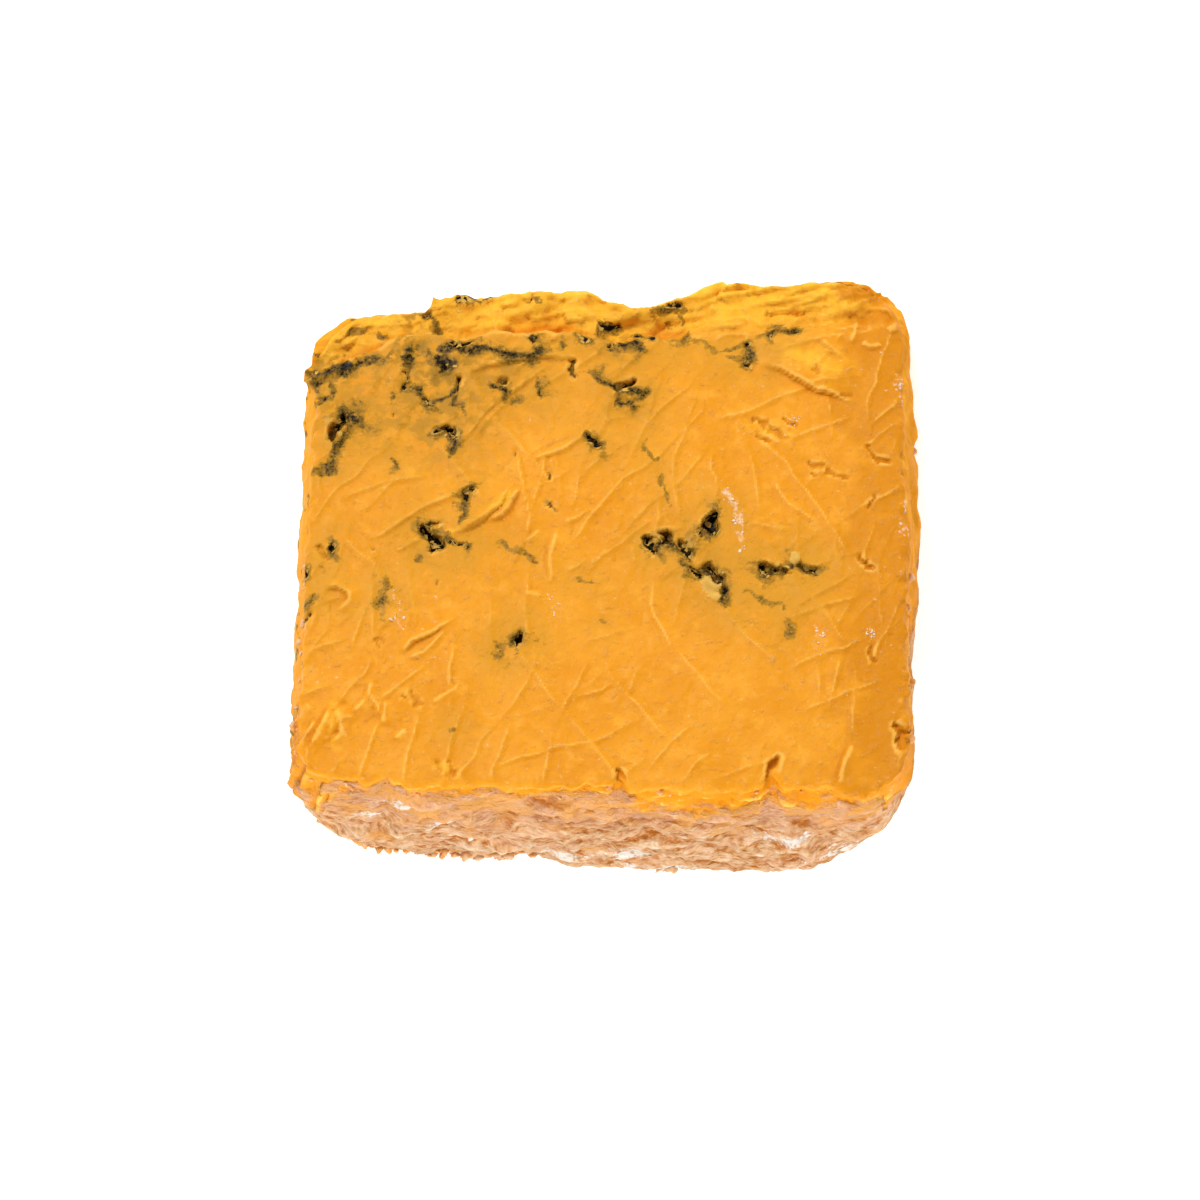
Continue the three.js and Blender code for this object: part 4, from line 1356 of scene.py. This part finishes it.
# Frayed borders: size and swing of their noise, and the values between which the colour comes in.
FRAYED = {
    "torn": (1.6, 1.4, 0.0, 1.3),
    # The step's foot and the cracks get painted shade, and the crests get a painted highlight.
    "deep": (2, 0.9, 0.1, 1.1),
    "ripe": (6, 2.4, 0.1, 1.1),
    "crest_highlight": (0.6, 0.4, 0.15, 1.1),
    "crack_shade": (0.6, 0.4, -0.15, -1.1),
    "pocket": (0.7, 1.8, 0.3, 0.6),
    "growth": (0.8, 2.4, -0.3, 0.4),
    "mottle": (1.1, 3.2, 0.1, 0.6),
    "specks": (0.4, 3.8, 0.6, 1.0),
    "core": (0.5, 2.4, 0.6, 0.9),
    "chip": (0.5, 0.8, 0.35, 0.6),
    "rind": (1.3, 1.2, 0.0, 1.0),
    "white": (0.8, 2.4, 0.35, 0.95),
    "salt": (0.5, 2.0, 0.3, 1.5),
}

# Soft patches: size, detail and shift of their noise, and the values between which the colour comes in.
PATCHY = {
    "paste": (13, 2, 0, 0.35, 0.65),
    "light": (3.2, 4, 0.3, 0.45, 0.8),
    "olive": (2.2, 4, 0, 0.3, 0.6),
    "tint": (4, 3, 0, 0.15, 0.6),
    "rind_crumbs": (6, 2, 0, 0.4, 0.6),
    "paste_crumbs": (0.6, 2, 0, 0.5, 0.8),
    "crystals": (0.5, 2, 0, 0.4, 0.7),
}

# The rind's noises: size, detail, stretch and shift. Its colours come in between two values of them.
FIBRE_NOISE = (1.5, 6, (1, 1, 2.4), 0.2)
STRATA_NOISE = (6, 4, (1, 1, 2), 0)
PINK_NOISE = (5, 3, (1, 1, 2), 0.5)
ORANGE_NOISE = (6, 4, (1, 1, 2), 0.8)
PINK_SHOWS, PINK_SHARE, PINK_UPWARDS = (0.45, 0.7), 0.65, 0.15
ORANGE_SHOWS, ORANGE_UPWARDS = (0.56, 0.82), 0.22

# What the rind's shade and the mould's darkness are made up of.
# The rind's terms for crests and cracks and for its upper part are painted highlight and shade.
RIND_SHADE = {"start": -1.3, "fibres": 2.2, "layers": 1.1, "relief_highlight_and_shade": 0.25, "dark": -0.1, "upper": -0.3}
# The pocket term is black mould and painted shade in the holes.
DARKNESS = {"growth": 0.25, "mottle": 0.2, "specks": 0.18, "core": 0.25, "pocket": 0.6, "olive": 0.45}
DARK_COVERS = 0.2

# Shares of the painted highlight on crests and the painted shade in cracks.
CREST_HIGHLIGHT_SHARE, CRACK_SHADE_SHARE = 0.65, 0.6
MOULD_CRUMBS = {"size": 0.8, "shows": (0.62, 0.7), "in_pocket": (-0.5, 0.2), "share": 0.8}

# Unseen veins: size, detail and shift of the two noises, and the sum between which they thin out.
UNSEEN_NOISES = ((11, 3, 0.11), (9, 3, 0.47))
UNSEEN_SHOWS = (0.085, 0.02)
UNSEEN_HALO, UNSEEN_VEIN, UNSEEN_START = 0.9, 2.4, -1.9

# Bumps too small for the mesh: size, detail and shift of their noise, and their heights in metres.
GRAIN_NOISE, WRINKLES = (0.5, 3), (4.5, 2, 0.9)
CRUMB_NOISE, CRYSTAL_NOISE = (0.25, 3), (0.1, 2)
GRAIN_BUMP, WRINKLE_BUMP, RIND_BUMP = 0.00006, 0.0006, 0.0014
CRUMB_BUMP, CRYSTAL_BUMP = 0.0001, 0.00003

# The studio: strength of the white surroundings, size of the floor, and the lights, each with its place, the
# point it faces, its size and its power.
SURROUNDINGS = 0.42
FLOOR_HALF = 3.0
LIGHTS = {
    "main": ((-0.35, 0.8, 0.8), (0, 0, 0), 0.35, 11),
    "side": ((1.2, 0.1, 0.2), (0, 0, 0.02), 0.7, 5),
    "front": ((-0.1, -1.3, 0.25), (0, 0, 0.02), 0.9, 21),
}
FAR = 100


class Shades:
    """Adds shader nodes to one material. Constants are set on the sockets."""

    def __init__(self, name):
        self.material = bpy.data.materials.new(name)
        self.material.use_nodes = True
        self.tree = self.material.node_tree
        self.tree.nodes.clear()
        self.place = self.add("ShaderNodeTexCoord").outputs["Object"]
        self.strata = self.lifted(self.place, "lift")

    def add(self, kind, inputs=None, **settings):
        """A node with its settings, and its inputs linked or set."""
        node = self.tree.nodes.new(kind)
        for key, value in settings.items():
            setattr(node, key, value)
        for socket, value in (inputs or {}).items():
            if isinstance(value, bpy.types.NodeSocket):
                self.tree.links.new(value, node.inputs[socket])
            else:
                node.inputs[socket].default_value = value
        return node

    def field(self, name):
        """A field of the mesh."""
        return self.add("ShaderNodeAttribute", attribute_name=name).outputs["Fac"]

    def lifted(self, place, name):
        """Places moved up by a field."""
        up = self.add("ShaderNodeCombineXYZ", {"Z": self.field(name)}).outputs["Vector"]
        return self.add("ShaderNodeVectorMath", {0: place, 1: up}, operation="ADD").outputs["Vector"]

    def noise(self, size, detail=2, stretch=(1, 1, 1), shift=0, place=None):
        """Noise around 0.5 with features of a size in millimetres."""
        mapping = {"Vector": place or self.place, "Scale": stretch, "Location": (shift, shift, shift)}
        mapped = self.add("ShaderNodeMapping", mapping).outputs["Vector"]
        inputs = {"Vector": mapped, "Scale": 1 / (size * MM), "Detail": detail, "Roughness": NOISE_ROUGHNESS}
        return self.add("ShaderNodeTexNoise", inputs).outputs["Fac"]

    def math(self, operation, a, b=0.0):
        """A sum, product or the like of two numbers."""
        return self.add("ShaderNodeMath", {0: a, 1: b}, operation=operation).outputs[0]

    def step(self, value, low, high):
        """0 below low and 1 above high, with a soft change between them."""
        inputs = {"Value": value, "From Min": low, "From Max": high}
        return self.add("ShaderNodeMapRange", inputs, interpolation_type="SMOOTHSTEP").outputs["Result"]

    def ragged(self, field, size, swing):
        """A field with fine noise added."""
        swung = self.math("MULTIPLY_ADD", self.noise(size, FRAY_DETAIL), swing)
        swung.node.inputs[2].default_value = -swing / 2
        return self.math("ADD", field, swung)

    def frayed(self, value, name):
        """0 or 1 by a value, with a border that one of the noises frays."""
        size, swing, low, high = FRAYED[name]
        return self.step(self.ragged(value, size, swing), low, high)

    def patchy(self, name):
        """0 or 1 in soft patches of one of the noises."""
        size, detail, shift, low, high = PATCHY[name]
        return self.step(self.noise(size, detail, shift=shift), low, high)

    def ridges(self, size, detail, shift):
        """How far a noise is from its middle, so that its ridges lie along lines."""
        return self.math("ABSOLUTE", self.math("SUBTRACT", self.noise(size, detail, shift=shift), 0.5))

    def mix(self, share, a, b):
        """A colour at a share of the way from a to b."""
        node = self.add("ShaderNodeMix", {0: share, 6: a, 7: b}, data_type="RGBA")
        return node.outputs[2]

    def ramp(self, value, stops):
        """A colour that goes with a value, through stops of place and colour."""
        node = self.add("ShaderNodeValToRGB", {"Fac": value})
        ramp = node.color_ramp
        ramp.elements[0].position, ramp.elements[0].color = stops[0]
        ramp.elements[1].position, ramp.elements[1].color = stops[-1]
        for place, colour in stops[1:-1]:
            ramp.elements.new(place).color = colour
        return node.outputs["Color"]

    def sum(self, start, *terms):
        """A number and a sum of products, each of a value and a factor."""
        total = start
        for value, factor in terms:
            inputs = {0: value, 1: factor, 2: total}
            total = self.add("ShaderNodeMath", inputs, operation="MULTIPLY_ADD").outputs[0]
        return total

    def finish(self, inputs, bump=None):
        """The surface, with a bump of heights in metres."""
        if bump is not None:
            made = self.add("ShaderNodeBump", {"Height": bump, "Distance": 1.0})
            inputs = {**inputs, "Normal": made.outputs["Normal"]}
        surface = self.add("ShaderNodeBsdfPrincipled", inputs)
        self.add("ShaderNodeOutputMaterial", {"Surface": surface.outputs["BSDF"]})
        return self.material


def paste_colour(s):
    """Orange paste: lighter when torn, deeper in soft patches, painted highlight on crests and lip, painted
    shade in cracks and step foot.
    """
    colour = s.mix(s.patchy("paste"), PASTE_DEEP, PASTE)
    colour = s.mix(s.patchy("light"), colour, PASTE_LIGHT)
    # Torn places, and the rim's crumbled lip with its painted highlight.
    torn = s.math("MAXIMUM", s.field("torn"), s.field("lip"))
    colour = s.mix(s.frayed(torn, "torn"), colour, TORN_YELLOW)
    # Painted shade at the foot of the step behind the break.
    colour = s.mix(s.frayed(s.field("deep"), "deep"), colour, STEP_SHADE_ORANGE)
    colour = s.mix(s.frayed(s.field("ripe"), "ripe"), colour, PASTE_RIPE)
    # Painted highlight on crests and painted shade in cracks.
    relief_highlight_and_shade = s.field("relief_highlight_and_shade")
    crest_highlight = s.math("MULTIPLY", s.frayed(relief_highlight_and_shade, "crest_highlight"), CREST_HIGHLIGHT_SHARE)
    crack_shade = s.math("MULTIPLY", s.frayed(relief_highlight_and_shade, "crack_shade"), CRACK_SHADE_SHARE)
    return s.mix(crack_shade, s.mix(crest_highlight, colour, CREST_HIGHLIGHT_YELLOW), CRACK_SHADE_ORANGE)


def hidden_veins(s):
    """Veins on the cut faces that the photo doesn't show, from two noises that cross."""
    a, b = (s.ridges(*settings) for settings in UNSEEN_NOISES)
    return s.math("MULTIPLY", s.step(s.math("ADD", a, b), *UNSEEN_SHOWS), s.field("hidden"))


def rind_colour(s):
    """Pink and tan rind in thin flat layers, from brown cracks to pale fibres, with painted highlight and
    shade on its crests and cracks and painted shade near its upper edge.
    """
    upper = s.field("upper")
    shade = s.sum(
        RIND_SHADE["start"],
        (s.noise(*FIBRE_NOISE, s.strata), RIND_SHADE["fibres"]),
        (s.noise(*STRATA_NOISE, s.strata), RIND_SHADE["layers"]),
        # Painted highlight on the rind's crests and painted shade in its cracks.
        (s.field("relief_highlight_and_shade"), RIND_SHADE["relief_highlight_and_shade"]),
        (s.field("dark"), RIND_SHADE["dark"]),
        # Painted shade near the rind's upper edge.
        (upper, RIND_SHADE["upper"]),
    )
    pink = s.step(s.sum(s.noise(*PINK_NOISE), (upper, PINK_UPWARDS)), *PINK_SHOWS)
    orange = s.step(s.sum(s.noise(*ORANGE_NOISE), (upper, ORANGE_UPWARDS)), *ORANGE_SHOWS)
    colour = s.mix(s.math("MULTIPLY", pink, PINK_SHARE), s.ramp(shade, RIND_SHADES), RIND_PINK)
    return s.mix(orange, colour, RIND_ORANGE)


def mould_crumbs(s):
    """Where khaki crumbs lie in the mould."""
    scale = 1 / (MOULD_CRUMBS["size"] * MM)
    cells = s.add("ShaderNodeTexVoronoi", {"Vector": s.place, "Scale": scale}).outputs["Color"]
    in_pocket = s.step(s.field("pocket"), *MOULD_CRUMBS["in_pocket"])
    crumbs = s.math("MULTIPLY", s.step(cells, *MOULD_CRUMBS["shows"]), in_pocket)
    chips = s.frayed(s.field("chip"), "chip")
    return s.math("MULTIPLY", s.math("MAXIMUM", crumbs, chips), MOULD_CRUMBS["share"])


def mould_colour(s, colour, halo, vein):
    """Mould over a colour: an olive tint round the veins, mottled growth in them, and black pockets of mould
    and painted shade.
    """
    olive = s.math("MULTIPLY", s.field("olive"), s.patchy("olive"))
    parts = {name: s.frayed(vein, name) for name in ("growth", "mottle", "specks", "core")}
    parts["pocket"] = s.frayed(s.field("pocket"), "pocket")
    parts["olive"] = olive
    dark = s.sum(0.0, *((part, DARKNESS[name]) for name, part in parts.items()))
    tint = s.math("MAXIMUM", olive, s.math("MULTIPLY", halo, s.patchy("tint")))
    share = s.math("MAXIMUM", tint, s.step(dark, 0.0, DARK_COVERS))
    colour = s.mix(share, colour, s.ramp(dark, MOULD_SHADES))
    return s.mix(mould_crumbs(s), colour, CRUMB_KHAKI)


def cheese_material():
    """Paste, veins, torn places and rind, told apart by the mesh's fields."""
    s = Shades("cheese_paste_and_rind")
    rind = s.frayed(s.field("rind"), "rind")
    colour = s.mix(rind, paste_colour(s), rind_colour(s))
    colour = s.mix(s.frayed(s.field("white"), "white"), colour, MOULD_WHITE)
    unseen = hidden_veins(s)
    halo = s.math("MAXIMUM", s.field("halo"), s.math("MULTIPLY", unseen, UNSEEN_HALO))
    vein = s.math("MAXIMUM", s.field("vein"), s.sum(UNSEEN_START, (unseen, UNSEEN_VEIN)))
    colour = mould_colour(s, colour, halo, vein)
    colour = s.mix(s.frayed(s.field("salt"), "salt"), colour, CRYSTAL_WHITE)
    fibres = s.math("MULTIPLY", s.noise(*FIBRE_NOISE, s.strata), rind)
    grain, wrinkles = s.noise(*GRAIN_NOISE), s.ridges(*WRINKLES)
    bump = s.sum(0.0, (grain, GRAIN_BUMP), (wrinkles, WRINKLE_BUMP), (fibres, RIND_BUMP))
    return s.finish(
        {
            "Base Color": colour,
            "Roughness": s.sum(0.37, (rind, 0.35), (s.noise(2), 0.1)),
            "Specular IOR Level": s.sum(0.06, (s.field("side"), -0.05)),
            "Subsurface Weight": 0.1,
            "Subsurface Radius": (1.0, 0.45, 0.12),
            "Subsurface Scale": 0.002,
        },
        bump,
    )


def crumb_material():
    """Paste and rind in one crumb or the next."""
    s = Shades("cheese_crumbs")
    rind = s.ramp(s.noise(1.5, 3), RIND_SHADES)
    colour = s.mix(s.patchy("rind_crumbs"), RIND_ORANGE, rind)
    colour = s.mix(s.patchy("paste_crumbs"), colour, PASTE_DEEP)
    grain = s.math("MULTIPLY", s.noise(*CRUMB_NOISE), CRUMB_BUMP)
    return s.finish({"Base Color": colour, "Roughness": 0.6, "Specular IOR Level": 0.3}, grain)


def crystal_material():
    """Pale, pinkish crystals."""
    s = Shades("cheese_crystals")
    colour = s.mix(s.patchy("crystals"), CRYSTAL_WHITE, MOULD_WHITE)
    grain = s.math("MULTIPLY", s.noise(*CRYSTAL_NOISE), CRYSTAL_BUMP)
    return s.finish({"Base Color": colour, "Roughness": 0.5, "Specular IOR Level": 0.4}, grain)


def add_floor():
    """A plain white floor, lit a little from below like a light table."""
    s = Shades("floor")
    material = s.finish({
        "Base Color": FLOOR_WHITE,
        "Roughness": 0.9,
        "Specular IOR Level": 0.0,
        "Emission Color": FLOOR_WHITE,
        "Emission Strength": FLOOR_GLOW,
    })
    corners = FLOOR_HALF * np.array([(-1, -1, 0), (1, -1, 0), (1, 1, 0), (-1, 1, 0)])
    return add_mesh("floor", corners, [(0, 1, 2, 3)], material, smooth=False)


def add_light(name, place, aim, size, power):
    """A square soft light that faces a point."""
    lamp = bpy.data.lights.new(name, "AREA")
    lamp.size = size
    lamp.energy = power
    light = bpy.data.objects.new(name, lamp)
    light.location = place
    light.rotation_euler = (Vector(place) - Vector(aim)).to_track_quat("Z", "Y").to_euler()
    bpy.context.collection.objects.link(light)


def add_studio():
    """White surroundings, a soft main light from the back left, and lower ones at the right and in front."""
    world = bpy.data.worlds.new("studio")
    world.use_nodes = True
    background = world.node_tree.nodes["Background"]
    background.inputs["Color"].default_value = (1, 1, 1, 1)
    background.inputs["Strength"].default_value = SURROUNDINGS
    bpy.context.scene.world = world
    for name, settings in LIGHTS.items():
        add_light(name, *settings)


def add_camera():
    """The photo's camera."""
    place, *_ = camera_axes()
    lens = bpy.data.cameras.new("photo")
    lens.sensor_width = SENSOR_WIDTH
    lens.lens = SENSOR_WIDTH * FOCAL_PIXELS / PHOTO_SIZE
    lens.clip_end = FAR
    camera = bpy.data.objects.new("photo", lens)
    camera.location = place * MM
    camera.rotation_euler = (CAMERA_TILT, 0, 0)
    bpy.context.collection.objects.link(camera)
    bpy.context.scene.camera = camera


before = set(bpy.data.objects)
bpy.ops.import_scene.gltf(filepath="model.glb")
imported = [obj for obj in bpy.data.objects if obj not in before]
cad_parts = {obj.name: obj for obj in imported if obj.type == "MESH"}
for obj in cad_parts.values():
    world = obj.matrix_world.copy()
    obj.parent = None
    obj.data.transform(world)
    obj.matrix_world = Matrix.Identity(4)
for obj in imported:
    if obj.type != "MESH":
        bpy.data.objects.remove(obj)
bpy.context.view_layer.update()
random = np.random.default_rng(SEED)

bpy.context.scene.view_settings.view_transform = "Standard"
add_camera()
add_studio()
add_floor()

cheese, place, under, fields = add_cheese(cheese_material())
crumbs = add_crumbs(cheese, place, under, fields, crumb_material(), random)
crystals = add_crystals(place, crystal_material(), random)
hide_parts("cheese")
for piece in (cheese, crumbs, crystals):
    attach(piece, "root")
